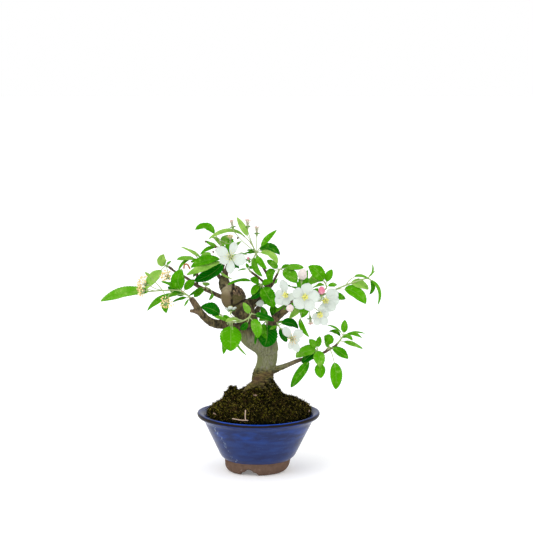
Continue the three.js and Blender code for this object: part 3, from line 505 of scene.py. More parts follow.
def planted(bed_faces, sprigs, spacing, seed, sink=0.5, sway=0.5):
    """Sprigs planted all over some faces, about one to each square of the spacing."""
    draw = random.Random(seed)
    grown = bmesh.new()
    grown.verts.layers.float.new("tone")
    owed = 0
    for face in bed_faces:
        middle = face.calc_center_median()
        clump = noise.noise(middle * 0.3) + 0.5 * noise.noise(middle * 0.7)
        crowd = max(SPRIG_CROWD[0] + SPRIG_CROWD[1] * clump, FEWEST_SPRIGS)
        owed += face.calc_area() / spacing**2 * crowd
        while owed > draw.random():
            owed -= 1
            corners = [loop.vert.co for loop in face.loops]
            weights = [draw.random() + 0.05 for _ in corners]
            spot = sum((c * w for c, w in zip(corners, weights)), Vector()) / sum(weights)
            aim = face.normal + Vector([draw.uniform(-sway, sway) for _ in range(3)])
            spot -= face.normal * sink
            spin = Matrix.Rotation(draw.uniform(0, math.tau), 4, "Z")
            size = draw.uniform(*SPRIG_SIZES)
            stand = Matrix.Translation(spot) @ upright(aim) @ spin @ Matrix.Scale(size, 4)
            mesh = draw.choice(sprigs)
            mesh.transform(stand)
            grown.from_mesh(mesh)
            mesh.transform(stand.inverted())
    return grown


planted_faces = [
    face for face in mound.faces
    if face.calc_center_median().z > PLANTED_ABOVE and face.normal.z > -0.5
]
tufts = planted(
    planted_faces,
    [
        sprig("star sprig", spikes=8, length=2.6, width=0.42, lean=(8, 78)),
        sprig("tall sprig", spikes=6, length=3.6, width=0.4, lean=(4, 55)),
    ],
    spacing=1.85, seed=5, sink=0.6,
)
threads = planted(
    planted_faces,
    [
        sprig("thread", spikes=3, length=8, width=0.42, lean=(62, 84)),
        sprig("hook", spikes=2, length=5, width=0.42, lean=(35, 70)),
    ],
    spacing=3.1, seed=11, sink=0.2,
)

moss_green = Finish("green moss", Roughness=0.9, Specular_IOR_Level=0.03)
where = moss_green.place()
tone = moss_green.painted("tone")
speck = moss_green.noise(where, 3.4, 3, 0.6)
cloud = moss_green.noise(where, 8, 3)
olive = moss_green.over((0.002, 0.002, 0.0003), (0.03, 0.026, 0.002), cloud, 0.42, 0.66)
tip = moss_green.over(olive, (0.36, 0.33, 0.025), speck, 0.54, 0.63)
tip = moss_green.over(tip, (0.004, 0.004, 0.001), speck, 0.5, 0.42, 0.85)
# Painted shade: broad dark patches painted over the moss tips where hollows between clumps would lie
# in shade.
painted_hollow_shade = moss_green.noise(where, 15, 2)
tip = moss_green.over(tip, (0.006, 0.006, 0.002), painted_hollow_shade, 0.52, 0.38, 0.75)
shaded = moss_green.step(moss_green.along(0, where), 0.02, 0.07) * 0.45
tip = moss_green.mix(shaded, tip, (0.008, 0.008, 0.003))
moss_green.set(Base_Color=moss_green.mix(tone**1.6, (0.002, 0.002, 0.0005), tip))

moss_dry = Finish("dry moss", Roughness=0.9, Specular_IOR_Level=0.03)
where = moss_dry.place()
tone = moss_dry.painted("tone")
speck = moss_dry.noise(where, 2.4, 2)
cloud = moss_dry.noise(where, 9, 3)
straw = moss_dry.over((0.005, 0.004, 0.001), (0.5, 0.4, 0.08), speck, 0.52, 0.6)
straw = moss_dry.over(straw, (0.15, 0.08, 0.03), cloud, 0.52, 0.62, 0.8)
moss_dry.set(Base_Color=moss_dry.mix(tone, (0.01, 0.007, 0.003), straw))

piece("moss_tufts", tufts, [moss_green], "moss", "moss")
piece("moss_threads", threads, [moss_dry], "moss", "moss")
piece("moss_mound", mound, [moss_bed], "moss", "moss")

# ------------------------------------------------------------------ trunk, roots and branches
# One piece of living wood. The bark is smooth and lilac grey in the middle of the trunk,
# wrinkled and green with algae at the foot, flaky and dark above. A callused knob stands where
# the old leader was cut off, and every shoot has a spur that it grew from.

# Centre lines from the trunk outwards, as (x, y, z, radius) rows.
FOOT = (
    (3, 0, 46, 8), (3, 0, 58, 14), (3, 0, 74, 16), (4, 0, 89, 15.4), (5, 0, 104, 13.8),
    (6, 0, 114, 12.6),
)
ROOTS = (
    ((0, -4, 109, 7.5), (-9, -8, 102, 6.5), (-18, -12, 94, 5), (-27, -14, 84, 3.5)),
    ((9, -6, 106, 5), (14, -13, 93, 4.5), (20, -21, 80, 3.2)),
    ((9, 6, 112, 5.5), (18, 13, 100, 5), (29, 22, 85, 3.4)),
    ((1, 6, 112, 5.5), (-7, 17, 99, 5), (-14, 30, 84, 3.4)),
)
TRUNK = (
    (4.5, 0, 110, 13.2), (5.7, 0, 119, 12.6), (9, -1, 130, 11.8), (10.7, -3, 144, 12.6),
    (6, -6, 157, 15.2), (-8, -9, 169, 15.5), (-13, -11, 184, 12), (-18, -12, 197, 12),
    (-26, -13, 209, 12.6), (-31, -13, 219, 11),
)
BOUGHS = {
    "crown": (
        (-27, -10, 208, 8), (-37, -8, 222, 8), (-42, -6, 231, 6.5), (-43, -4, 237, 4),
        (-42, -2, 243, 2), (-43, 2, 249, 1.8),
    ),
    "crown_stub": ((-38, -7, 229, 4.5), (-31, -8, 230, 2.6), (-28, -9, 226, 2)),
    "left": (
        (-3, -9, 171, 10), (-22, -12, 175, 7), (-33, -15, 179, 6.2), (-43, -18, 183, 5.8),
        (-52, -21, 184, 5.2), (-62, -24, 190, 4.6), (-70, -26, 199, 4.3), (-76, -28, 209, 4),
        (-80, -29, 215, 3.4),
    ),
    "left_stub": ((-68, -26, 197, 4), (-76, -29, 200, 2.4), (-81, -30, 201, 2.1)),
    "left_twig": (
        (-30, -12, 213, 5), (-45, -6, 215, 2.8), (-60, 0, 221, 2.5), (-75, 6, 227, 2.2),
        (-88, 10, 236, 1.8), (-101, 12, 243, 1.5), (-107, 13, 247, 1.4),
    ),
    "upper_right": (
        (-20, -10, 192, 9), (-10, -4, 205, 6.8), (-3, 2, 211, 5.6), (4, 7, 217, 4.4),
        (12, 10, 224, 3.2), (17, 11, 229, 2.4),
    ),
    "top_twig": ((9, 9, 222, 2.6), (12, 8, 236, 1.9), (7, 5, 247, 1.6), (1, 0, 258, 1.4)),
    "mid_twig": ((9, 8, 226, 2), (4, 2, 234, 1.5), (-3, -2, 240, 1.3)),
    "right": (
        (10.5, -6, 152, 14), (13, -9, 172, 8.5), (20, -12, 188, 5.2), (28, -14, 196, 4.4),
        (36, -15, 202, 3.8), (45, -15, 209, 2.8), (56, -14, 216, 2.2), (66, -13, 221, 1.8),
    ),
    "low_right": (
        (8, -1, 121, 6), (26, -8, 128, 3.6), (37, -12, 133, 2.9), (50, -16, 139, 2.5),
        (65, -19, 142, 2.1), (75, -21, 147, 1.8), (84, -22, 152, 1.6), (92, -22, 157, 1.4),
    ),
    "back_mid": ((-9, -9, 182, 9), (-6, 6, 189, 5), (-1, 20, 196, 3.4), (3, 32, 202, 2.2)),
    "back_right": ((28, -14, 196, 4), (38, 4, 204, 2.8), (48, 20, 212, 2)),
    "back_top": ((-34, -9, 218, 6), (-40, 8, 236, 3.4), (-38, 20, 252, 2)),
    "back_left": ((-34, -10, 216, 5), (-44, 10, 232, 2.8), (-56, 24, 246, 1.9)),
    "back_low": ((4, -5, 160, 9), (12, 12, 168, 4), (17, 26, 175, 2.4)),
}
# The two lobes of the knob and the callus that has half closed over the cut: centre, half sizes.
KNOB = (((-37, -18, 214), (8, 8, 12.5)), ((-26, -15, 215.5), (10.5, 10.5, 15)))
KNOB_LEAN = math.radians(-12)
# The knob from the front, as (x, z): the fold between the lobes, the crease under them, and the
# middle and half sizes of the callus and of the rough old cut that it hasn't closed over.
LOBE_FOLD = ((-30.5, 231), (-32.6, 223.4), (-31.8, 216.2), (-32.2, 207.7))
LOWER_CREASE = ((-13.9, 214.5), (-21, 210.5), (-26.3, 207.4), (-35.3, 204.7))
CALLUS = ((-31, 216), (15.5, 17))
OLD_CUT = ((-24.5, 225), (8.5, 7.5))
KNOB_ACROSS = (-48, -10)
KNOB_UP = (198, 236)
KNOB_FRONT = -6  # nothing behind this is part of the healed cut
SPUR_RADIUS = 1.4
SPUR_FLARE = 1.3  # of that radius, inside the bough
THICK_LIMB = 7  # limbs that start with more than this radius have more sides
LIMB_SIDES = (14, 24)
BARK_VOXEL = 0.8
BARK_RELIEF = 0.085  # of the limb's radius beyond the thinnest, up to the thickest
BARK_RADII = (0.8, 9)
CRACK_DEPTH = 2
CUT_DEPTH = 0.9
CUT_TEARS = 1.6
WRINKLED_BELOW = (138, 118)
FLAKY_ABOVE = (168, 182)
# The leafy shoots. wood is the spur on the trunk's side, from inside a bough to the bud, and
# stem goes on from there. A leaf row is (place along the stem from 0 to 1, tip, width, turn of
# its face up), and may go on with how far it bows to its upper side and its stalk, both as
# shares of its length. Blooms, buds and spent flowers have the top of their calyx and the way
# they face. A bud then has its length, and a bloom its petals, as (degrees round the flower,
# length, width).

SHOOTS = {
    "left_tip": {
        "wood": ((-76, -28, 209), (-81, -29, 216)),
        "stem": ((-85, -31, 220), (-94, -35, 226), (-110, -40, 227), (-131, -45, 226)),
        "leaves": (
            (1, (-187, -50, 215), 15, 10, 0.1, 0.05), (0.36, (-91, -30, 251), 17, 0, -0.45),
            (0.4, (-77, -24, 238), 10, 5), (0.45, (-116, -37, 237), 9, 40),
            (0.2, (-109, -22, 229), 9, -50), (0.3, (-132, -44, 203), 10, 25, 0.19),
            (0.6, (-109, -50, 201), 10, 0, 0.36, 0.4), (0.08, (-103, -24, 211), 5, 20),
            (0.8, (-135, -42, 249), 5, 20, 0, 0.65), (0, (-89, -30, 206), 2.5, 0),
        ),
        "spent": (
            ((-133, -52, 236), (-0.8, -0.4, 0.4)), ((-134, -56, 229), (-0.9, -0.4, -0.1)),
            ((-108, -54, 216), (-0.1, -0.9, -0.3)),
        ),
    },
    "twig_tip": {
        "wood": ((-106, 12, 247), (-111, 13, 250)),
        "stem": ((-113, 13, 251),),
        "leaves": (
            (0.6, (-115, 10, 265), 12, 0, -0.58, 0.08), (1, (-138, -14, 223), 14, 15, 0, 0.24),
            (0, (-106, 8, 257), 3.5, 0),
        ),
        "spent": (((-110, -4, 239), (-0.4, -0.8, 0.3)),),
    },
    "left_upper": {
        "wood": ((-75, 6, 227), (-74, 0, 257)),
        "stem": ((-74, -1, 262),),
        "leaves": (
            (0.5, (-99, -3, 260), 8, 20, 0), (1, (-94, -2, 275), 3, 0, 0.15),
            (0.3, (-97, -6, 246), 4, 0, 0.39, 0.35), (0.8, (-80, -8, 257), 5, 10),
            (1, (-78, 2, 270), 3.5, 0),
        ),
    },
    "crown": {
        "wood": ((-44, 2, 247), (-41, 4, 256)),
        "stem": ((-40, 3, 261),),
        "leaves": (
            (0.2, (-81, -22, 252), 13, 10, 0.14), (0.6, (-86, -30, 244), 12, 15, -0.06),
            (0.8, (-78, -14, 235), 17, 10, -0.28), (0, (-31, -12, 237), 5, 50, -0.84, 0.5),
            (0.5, (-23, -20, 251), 6, 10, 0, 0.4),
        ),
        "blooms": (
            ((-33, -36, 266), (-0.1, -1, 0.25),
             ((150, 20, 13.5), (72, 19.6, 10), (-16, 21, 15.5), (-87, 22, 10.5), (207, 14.5, 12))),
        ),
    },
    "top_left": {
        "wood": ((-44, 2, 247), (-46, 12, 271)),
        "stem": ((-47, 13, 279), (-54, 13, 290)),
        "leaves": (
            (1, (-77, 10, 295), 11, 15, 0.53, 0.04), (0, (-65, 8, 282), 5, 0, -0.18, 0.25),
            (0, (-71, 4, 265), 5.5, 20, 0.18), (0.3, (-34, 6, 288), 11, 0),
            (0, (-59, 10, 286), 3, 0, 0.43),
        ),
        "spent": (((-34, -4, 284), (0, -0.3, 0.95)),),
    },
    "top": {
        "wood": ((1, 0, 259), (-2, -3, 265)),
        "stem": ((-3, -5, 269.5),),
        "leaves": (
            (0.88, (-26, -12, 312), 7.5, 0, 0, 0.5), (0.8, (22, -6, 296), 7.5, 10, 0, 0.28),
            (0.6, (26, 4, 265), 14, 15, 0.45), (0.4, (23, -12, 256), 10, 20, 0.36),
            (0, (5, -10, 240), 8, 10, -0.45), (0, (10, -18, 250), 8, 0, -0.2),
            (0, (-60, -14, 286), 6.5, 20, 0.57, 0.36), (0.5, (-14, 2, 271), 7, 30),
            (0.3, (-18, -4, 267), 5, 40), (0.5, (-60, 2, 284), 7.5, 60, 0.53, 0.34),
        ),
        "buds": (((-12, -14, 261), (-0.2, -0.5, 0.9), 3.5),),
        "spent": (
            ((-31, -8, 300), (-0.2, -0.2, 1)), ((-13, -10, 301), (0, -0.2, 1)),
            ((-2, -4, 292), (0, -0.1, 1)),
        ),
    },
    "twig_mid": {
        "wood": ((1, -2, 237), (-10, -6, 246)),
        "stem": ((-12, -7, 249),),
        "leaves": ((1, (-25, -10, 247), 3, 30), (1, (-15, -8, 256), 4, 0), (0.5, (-7, 0, 251), 5, 0)),
    },
    "right_top": {
        "wood": ((17, 11, 229), (24, 11, 243)),
        "stem": ((26, 11, 247),),
        "leaves": (
            (0.5, (10, 7, 258), 9, 0), (0.4, (17, -5, 232), 10, 0, 0.68),
            (1, (46, 0, 231), 16, 0, 0.15), (1, (55, 8, 249), 10, 10, 0, 0.3),
            (0.8, (39, 18, 251), 6, 10),
        ),
    },
    "heart": {
        "wood": ((7, 6, 220), (4, -6, 229)),
        "stem": ((2, -9, 231),),
        "leaves": (
            (0.4, (19, -22, 204), 18, 0), (1, (-10, -14, 238), 10, 10),
            (0.6, (-8, -16, 218), 9, 0, 0.13), (0.2, (-37, -22, 231), 7, 35, 0.17, 0.3),
            (0.4, (-10, -14, 214), 9, 0, -0.42), (0.8, (16, -14, 234), 9, 10),
        ),
    },
    "front_shoot": {
        "wood": ((-35, -15, 179), (-37, -24, 185)),
        "stem": ((-33, -31, 188), (-22, -39, 189), (-12, -42, 194), (-8, -42, 200)),
        "leaves": (
            (0.25, (-33, -42, 154), 26, 0), (0.2, (-42, -33, 149), 9, 0),
            (0.3, (-14, -36, 148), 3, 30, -0.34, 0.45), (0.2, (-53, -29, 194), 6, 20),
            (0.55, (-39, -46, 190), 8, 30, 0.19), (0.9, (-18, -46, 213), 8, 0),
            (0.8, (-1, -50, 171), 13, 0, 0.27), (1, (19, -38, 190), 10, 15),
            (0.8, (-22, -34, 180), 8, 0, -0.36, 0.3),
        ),
        "blooms": (
            ((-33, -44, 203), (-0.05, 0.45, 0.9),
             ((10, 8, 6), (82, 8, 6), (154, 8, 6), (226, 8, 6), (298, 8, 6))),
        ),
    },
    "trunk_front": {
        "wood": ((12, -9, 176), (10, -21, 186)),
        "stem": ((9, -24, 188),),
        "leaves": (
            (0.8, (10, -38, 168), 8, 0, -0.34), (0.2, (7, -28, 157), 25, 0, -0.18),
            (1, (4, -30, 206), 9, 0), (0, (-4, -37, 161), 4, 0, 0.19, 0.4),
        ),
    },
    "right_cluster": {
        "wood": ((50, -14, 212), (57, -20, 212)),
        "stem": ((60, -22, 211),),
        "leaves": (
            (0.8, (52, -26, 192), 11, 0), (0.6, (37, -20, 190), 9, 10),
            (0.6, (46, -12, 234), 12, 10, 0.12), (1, (61, -28, 169), 6.5, 15, -0.52, 0.5),
            (0.2, (30, -26, 202), 7, 30), (0.9, (72, -12, 226), 8, 10),
        ),
        "blooms": (
            ((33, -40, 221), (-0.15, -1, 0.15),
             ((102, 20, 10.5), (172, 13.5, 11), (222, 16, 13), (275, 13, 10), (-12, 12, 10))),
            ((55, -48, 220), (0.05, -1, 0.1),
             ((75, 18, 15), (4, 19, 15), (-63, 19, 14), (226, 18, 16), (152, 17, 14))),
            ((79, -28, 213), (0.2, -0.95, 0.1),
             ((40, 20, 16), (-2, 18, 14), (-45, 17, 14), (-98, 14, 12), (150, 11, 10))),
            ((73, -44, 200), (0.05, -0.95, -0.25),
             ((-108, 15, 10), (-60, 16, 11), (5, 12, 10), (210, 11, 9), (70, 12, 11))),
        ),
        "buds": (
            ((52, -22, 237), (0.12, -0.1, 1), 14), ((75, -50, 223), (0, -0.2, 1), 10),
            ((39, -57, 208), (-0.3, -0.9, 0.1), 11),
        ),
        "spent": (((62, -34, 192), (0.1, -0.4, -0.9)),),
    },
    "right_under": {
        "wood": ((20, -12, 189), (23, -21, 184)),
        "stem": ((24, -24, 182),),
        "leaves": (
            (1, (48, -20, 178), 12, 15, 0.4), (1, (34, -22, 162), 10, 0), (0.6, (13, -30, 178), 4, 0),
        ),
        "blooms": (
            ((40, -42, 169), (0.1, -1, 0),
             ((126, 19.5, 10), (42, 16.5, 12), (254, 13.5, 7), (-65, 17.5, 9.5), (-10, 10, 7))),
        ),
    },
    "right_fold": {
        "wood": ((67, -13, 222), (75, -12, 223)),
        "stem": ((82, -12, 226), (81, -12, 232)),
        "leaves": (
            (1, (60, -16, 253), 16, 0, 0.14), (0.9, (61, -11, 229), 12, 0, 0.8),
            (0.9, (89, -4, 248), 9, 0, 0.05), (0.7, (95, -10, 230), 7, 20),
        ),
    },
    "far_right": {
        "wood": ((71, -12, 222), (80, -4, 218)),
        "stem": ((95, -2, 224), (113, 0, 231), (126, 2, 235), (134, 3, 237)),
        "leaves": (
            (0.05, (106, 4, 211), 9, 0), (0.22, (130, -4, 206), 16.5, 5, 0.33, 0.27),
            (0.48, (134, 8, 222), 12, 0, 0.21, 0.05), (0.4, (135, 2, 235), 5, 20, 0.48, 0.45),
            (1, (138, 2, 254), 2.5, 0, -0.36), (1, (135, 6, 216), 5.5, 0, 0.49),
            (1, (145, 0, 204), 4.5, 10, 0.4, 0.12), (0.95, (142, 8, 245), 2, 0),
        ),
    },
    "left_mid": {
        "wood": ((-60, 0, 221), (-62, -4, 225)),
        "stem": ((-64, -6, 227),),
        "leaves": (
            (0.5, (-78, -10, 215), 10, 10), (1, (-63, -2, 232), 9, 0),
            (0.2, (-60, -8, 211), 4, 0, 0.77, 0.6), (0.4, (-84, -14, 217), 4, 0),
        ),
    },
    "knob_leaf": {
        "wood": ((-43, -18, 183), (-45, -20, 192)),
        "stem": ((-45, -21, 195),),
        "leaves": (
            (1, (-69, -24, 205), 15, 0, 0.13, 0.1), (0.6, (-32, -22, 188), 5, 20),
            (0.3, (-56, -14, 194), 7, 10),
        ),
    },
    "low_1": {
        "wood": ((65, -19, 142), (70, -25, 149)),
        "stem": ((71, -27, 154),),
        "leaves": (
            (0.8, (45, -34, 145), 15, 10, 0.16, 0.08), (0.7, (52, -30, 138), 11, 0),
            (1, (61, -26, 166), 9, 0), (0.9, (75, -36, 134), 14, 0, 0, 0.1),
            (0.7, (75, -34, 120), 13, 0, 0, 0.5), (0.6, (39, -36, 109), 12, 0, 0, 0.33),
            (1, (74, -22, 169), 7, 0),
        ),
    },
    "low_2": {
        "wood": ((81, -22, 150), (84, -25, 155)),
        "stem": ((85, -26, 157),),
        "leaves": (
            (0.2, (93, -26, 105), 15, 0, 0.13, 0.4), (1, (79, -26, 170), 13, 10, 0.36),
            (0.6, (108, -30, 143), 11, 0, 0.08), (1, (83, -32, 173), 8, 20),
            (0.7, (79, -34, 164), 7, 0),
        ),
    },
    "low_tip": {
        "wood": ((92, -22, 156), (96, -22, 161)),
        "stem": ((99, -22, 165), (103, -22, 171)),
        "leaves": (
            (1, (104, -22, 189), 8.5, 0), (0.9, (82, -24, 183), 3.5, 30, 0.15),
            (0.3, (126, -18, 153), 7, 20), (0.8, (129, -14, 171), 3, 10, 0.18),
            (1, (125, -16, 166), 4.5, 0, 0.25), (0.5, (113, -30, 165), 6, 10, 0.54),
            (0.6, (85, -16, 174), 6, 20, 0.35),
        ),
    },
}

# Rosettes at the back of the crown, whose leaves spread round a direction by the golden angle.
BACK_SHOOTS = {
    "back_mid": {
        "wood": ((3, 32, 202), (5, 37, 204)),
        "grows": (0.15, 1, 0.35),
        "leaves": 6,
        "blooms": (
            ((6, 25, 214), (0.3, 0.1, 1),
             ((20, 14, 10), (92, 15, 10), (164, 13, 10), (236, 14, 9), (308, 14, 10))),
        ),
    },
    "back_right": {"wood": ((48, 20, 212), (52, 24, 214)), "grows": (0.5, 1, 0.3), "leaves": 6},
    "back_top": {"wood": ((-38, 20, 252), (-36, 24, 255)), "grows": (0.1, 1, 0.5), "leaves": 6},
    "back_left": {"wood": ((-56, 24, 246), (-60, 28, 248)), "grows": (-0.5, 1, 0.2), "leaves": 5},
    "back_low": {"wood": ((17, 26, 175), (18, 30, 177)), "grows": (0.2, 1, 0.2), "leaves": 6},
}


def path_place(points, share):
    """A place part-way along a smooth curve through points."""
    spot = min(max(share, 0), 1) * (len(points) - 1)
    index = min(int(spot), len(points) - 2)
    near, far = points[index], points[index + 1]
    before = points[index - 1] if index else near * 2 - far
    after = points[index + 2] if index + 2 < len(points) else far * 2 - near
    pairs = ((before, near), (near, far), (far, after))
    a, b, c = (max((end - start).length, 1e-6) ** 0.5 for start, end in pairs)
    leave = ((near - before) / a - (far - before) / (a + b) + (far - near) / b) * b
    arrive = ((far - near) / b - (after - near) / (b + c) + (after - far) / c) * b
    t = spot - index
    square, cube = t * t, t * t * t
    return (
        near * (2 * cube - 3 * square + 1)
        + leave * (cube - 2 * square + t)
        + far * (3 * square - 2 * cube)
        + arrive * (cube - square)
    )


def stations(rows, steps):
    """Places along a limb of (x, y, z, radius) rows: centre, two directions across, radius."""
    points = [Vector(row[:3]) for row in rows]
    side = Vector((0, -1, 0.01))
    placed = []
    for step in range(steps + 1):
        share = step / steps
        centre = path_place(points, share)
        along = (path_place(points, share + 0.002) - path_place(points, share - 0.002)).normalized()
        side = (side - along * side.dot(along)).normalized()
        spot = share * (len(rows) - 1)
        index = min(int(spot), len(rows) - 2)
        radius = rows[index][3] + (rows[index + 1][3] - rows[index][3]) * (spot - index)
        placed.append((centre, side, along.cross(side), radius))
    return placed


# A limb's rounded end: how far past it, and how wide there, of its radius.
ROUNDED_END = ((0.45, 0.8), (0.7, 0))


def add_limb(shape, rows, sides, steps):
    """Adds a closed limb with rounded ends to a bmesh; its doubles are merged afterwards."""
    body = stations(rows, steps)

    def cap(end, direction):
        centre, side, other, radius = body[end]
        out = other.cross(side) * direction
        return [
            (centre + out * radius * past, side, other, radius * share)
            for past, share in ROUNDED_END
        ]

    body = [*reversed(cap(0, 1)), *body, *cap(-1, -1)]
    lengths = len(body) - 1
    made = bmesh.ops.create_grid(shape, x_segments=lengths, y_segments=sides, size=0.5)
    for vert in made["verts"]:
        centre, side, other, radius = body[round((vert.co.x + 0.5) * lengths)]
        angle = math.tau * round((vert.co.y + 0.5) * sides) / sides
        vert.co = centre + (side * math.cos(angle) + other * math.sin(angle)) * radius


wood = bmesh.new()
wood_rows = [FOOT, *ROOTS, TRUNK, *BOUGHS.values()]
for shoot in (*SHOOTS.values(), *BACK_SHOOTS.values()):
    inner, bud = shoot["wood"]
    wood_rows.append(((*inner, SPUR_RADIUS * SPUR_FLARE), (*bud, SPUR_RADIUS)))
for rows in wood_rows:
    add_limb(wood, rows, LIMB_SIDES[rows[0][3] > THICK_LIMB], 8 * (len(rows) - 1))
closed(wood)
for centre, half in KNOB:
    lobe = Matrix.Translation(centre) @ Matrix.Rotation(KNOB_LEAN, 4, "Y")
    lobe = lobe @ Matrix.Diagonal((*half, 1))
    bmesh.ops.create_icosphere(wood, subdivisions=4, radius=1, matrix=lobe)

# The parts are grown together by a fine remesh, and the bark is raised on the skin that it gives.
raw = stood("raw wood", bpy.data.meshes.new("raw wood"))
wood.to_mesh(raw.data)
wood.free()
grow = raw.modifiers.new("grow together", "REMESH")
grow.mode = "VOXEL"
grow.voxel_size = BARK_VOXEL * 1
grown = bpy.data.meshes.new_from_object(raw.evaluated_get(bpy.context.evaluated_depsgraph_get()))
bpy.data.objects.remove(raw)
wood = bmesh.new()
wood.from_mesh(grown)
bmesh.ops.smooth_vert(
    wood, verts=wood.verts, factor=0.5, use_axis_x=True, use_axis_y=True, use_axis_z=True
)
wood.normal_update()

heart_lines = [station for rows in wood_rows for station in stations(rows, 6 * (len(rows) - 1))]
nearest = KDTree(len(heart_lines))
for index, (centre, _, _, radius) in enumerate(heart_lines):
    nearest.insert(centre, index)
nearest.balance()


def line_gap(spot, line):
    """How far a spot is from a line of straight stretches."""
    gaps = []
    for start, end in zip(map(Vector, line), map(Vector, line[1:])):
        share = (spot - start).dot(end - start) / (end - start).length_squared
        gaps.append((spot - start.lerp(end, min(max(share, 0), 1))).length)
    return min(gaps)


def oval_share(spot, middle, half):
    """0 in the middle of an oval and 1 on its edge."""
    return math.hypot((spot.x - middle[0]) / half[0], (spot.y - middle[1]) / half[1])


layers = wood.verts.layers.float
PAINTED = ("girth", "flank", "callus", "cut", "crack")
girth, flank, callus, cut, crack = map(layers.new, PAINTED)
for vert in wood.verts:
    place = vert.co.copy()
    radius = min(heart_lines[found[1]][3] for found in nearest.find_n(place, 3))
    vert[girth] = radius
    vert[flank] = vert.normal.x
    x, y, z = place
    on_knob = KNOB_ACROSS[0] < x < KNOB_ACROSS[1] and KNOB_UP[0] < z < KNOB_UP[1]
    if on_knob and y < KNOB_FRONT:
        seen = Vector((x, z))
        ragged = noise.noise(place * 0.3)
        vert[callus] = 1 - smooth_step(oval_share(seen, *CALLUS) + ragged * 0.15, 0.86, 1.02)
        vert[cut] = 1 - smooth_step(oval_share(seen, *OLD_CUT) + ragged * 0.4, 0.7, 1.05)
        # The fold between the lobes and the crease under them are sunk into the wood, and the same
        # mask paints shade into them.
        gap = min(line_gap(seen, LOBE_FOLD), line_gap(seen, LOWER_CREASE))
        vert[crack] = 1 - smooth_step(gap + ragged * 1.2, 0.2, 1.7)
    foot = smooth_step(z, *WRINKLED_BELOW)
    top = smooth_step(z, *FLAKY_ABOVE)
    wrinkles = noise.noise(Vector((x * 0.12, y * 0.12, z * 0.42 + x * 0.12))) * foot
    flakes = noise.noise(place * 0.32) + 0.6 * abs(noise.noise(place * 0.75))
    flakes *= max(top, foot * 0.7)
    grain = noise.noise(Vector((x * 0.5, y * 0.5, z * 0.07))) * 0.35
    girdle = max(min(radius, BARK_RADII[1]) - BARK_RADII[0], 0)
    knobby = noise.noise(place * 0.45) * 0.3 if radius < 5 else 0
    rise = girdle * BARK_RELIEF * (wrinkles * 2 + flakes * 1.5 + grain + knobby)
    rise *= 1 - vert[callus] * 0.75
    torn = CUT_DEPTH + CUT_TEARS * noise.noise(place * 0.5)
    rise -= vert[crack] * CRACK_DEPTH + vert[cut] * torn
    vert.co += vert.normal * rise
wood.normal_update()

# Heights in metres between which the trunk's bark changes: to the foot's below, and to the
# crown's above.
TO_FOOT_BARK = (0.134, 0.12)
TO_ROUGH_BARK = (0.166, 0.178)

bark = Finish("crabapple bark", Roughness=0.85, Specular_IOR_Level=0.3)
where = bark.place()
side = bark.along(0, where) - POT_AXIS_X * MM
height = bark.along(2, where)
girth, flank, callus, cut, crack = map(bark.painted, PAINTED)
grain = bark.noise(bark.place((1.5, 1.5, 0.3)), 2.2, 5, 0.65)
streak = bark.noise(bark.place((1.4, 1.4, 0.13)), 2.6, 3)
mottle = bark.noise(where, 7, 4, 0.6)
cloud = bark.noise(where, 20, 2)
rings = bark.noise(bark.place((0.4, 0.4, 2.2)), 2.6, 3, 0.6)
smooth_bark = bark.over((0.09, 0.096, 0.045), (0.245, 0.247, 0.142), grain, 0.28, 0.7)
smooth_bark = bark.over(smooth_bark, (0.235, 0.208, 0.18), mottle, 0.5, 0.7, 0.6)
algae = bark.mix(streak, (0.085, 0.1, 0.022), (0.24, 0.26, 0.11))
flanks = bark.step(flank, -0.3, -0.75) + bark.step(flank, 0.4, 0.9) * 0.6
green = flanks + bark.step(streak, 0.54, 0.62) * 0.4
smooth_bark = bark.mix(green.maths("MINIMUM", 0.85), smooth_bark, algae)
scaly = grain * 0.6 + mottle * 0.4
rough_bark = bark.over((0.012, 0.009, 0.003), (0.185, 0.145, 0.06), scaly, 0.34, 0.68)
rough_bark = bark.over(rough_bark, (0.19, 0.17, 0.085), cloud, 0.5, 0.7, 0.4)
plates = bark.step(bark.cells(bark.place((1, 1, 0.65)), 5) + (grain - 0.5) * 0.5, 0.5, 0.72)
rough_bark = bark.mix(plates * 0.7, rough_bark, (0.014, 0.01, 0.004))
foot_bark = bark.over((0.007, 0.006, 0.001), (0.15, 0.125, 0.028), rings, 0.4, 0.62)
foot_bark = bark.over(foot_bark, (0.045, 0.045, 0.006), mottle, 0.5, 0.64, 0.6)
foot_bark = bark.over(foot_bark, (0.14, 0.07, 0.04), cloud, 0.55, 0.7, 0.4)
mossy = bark.step(side, -0.003, -0.01) * bark.step(height, 0.114, 0.106)
foot_bark = bark.mix(mossy * bark.step(grain, 0.35, 0.6) * 0.8, foot_bark, (0.14, 0.115, 0.025))
ragged = height + (mottle - 0.5) * 0.02
colour = bark.over(smooth_bark, foot_bark, ragged, *TO_FOOT_BARK)
colour = bark.over(colour, rough_bark, ragged, *TO_ROUGH_BARK)
twig = bark.over((0.026, 0.017, 0.009), (0.2, 0.138, 0.075), grain, 0.3, 0.7)
colour = bark.over(colour, twig, girth, 3.4, 2.2)
# Painted highlight: the callus is painted pale beige above about 217 mm and darker brown below.
lobe_highlight_height = height + (mottle - 0.5) * 0.006
lobe = bark.over((0.13, 0.098, 0.045), (0.33, 0.28, 0.17), lobe_highlight_height, 0.217, 0.228)
lobe = bark.over(lobe, (0.06, 0.052, 0.012), side, -0.0335, -0.0305)
lobe = bark.over(lobe, (0.15, 0.1, 0.065), mottle, 0.42, 0.62, 0.5)
colour = bark.mix(callus, colour, lobe)
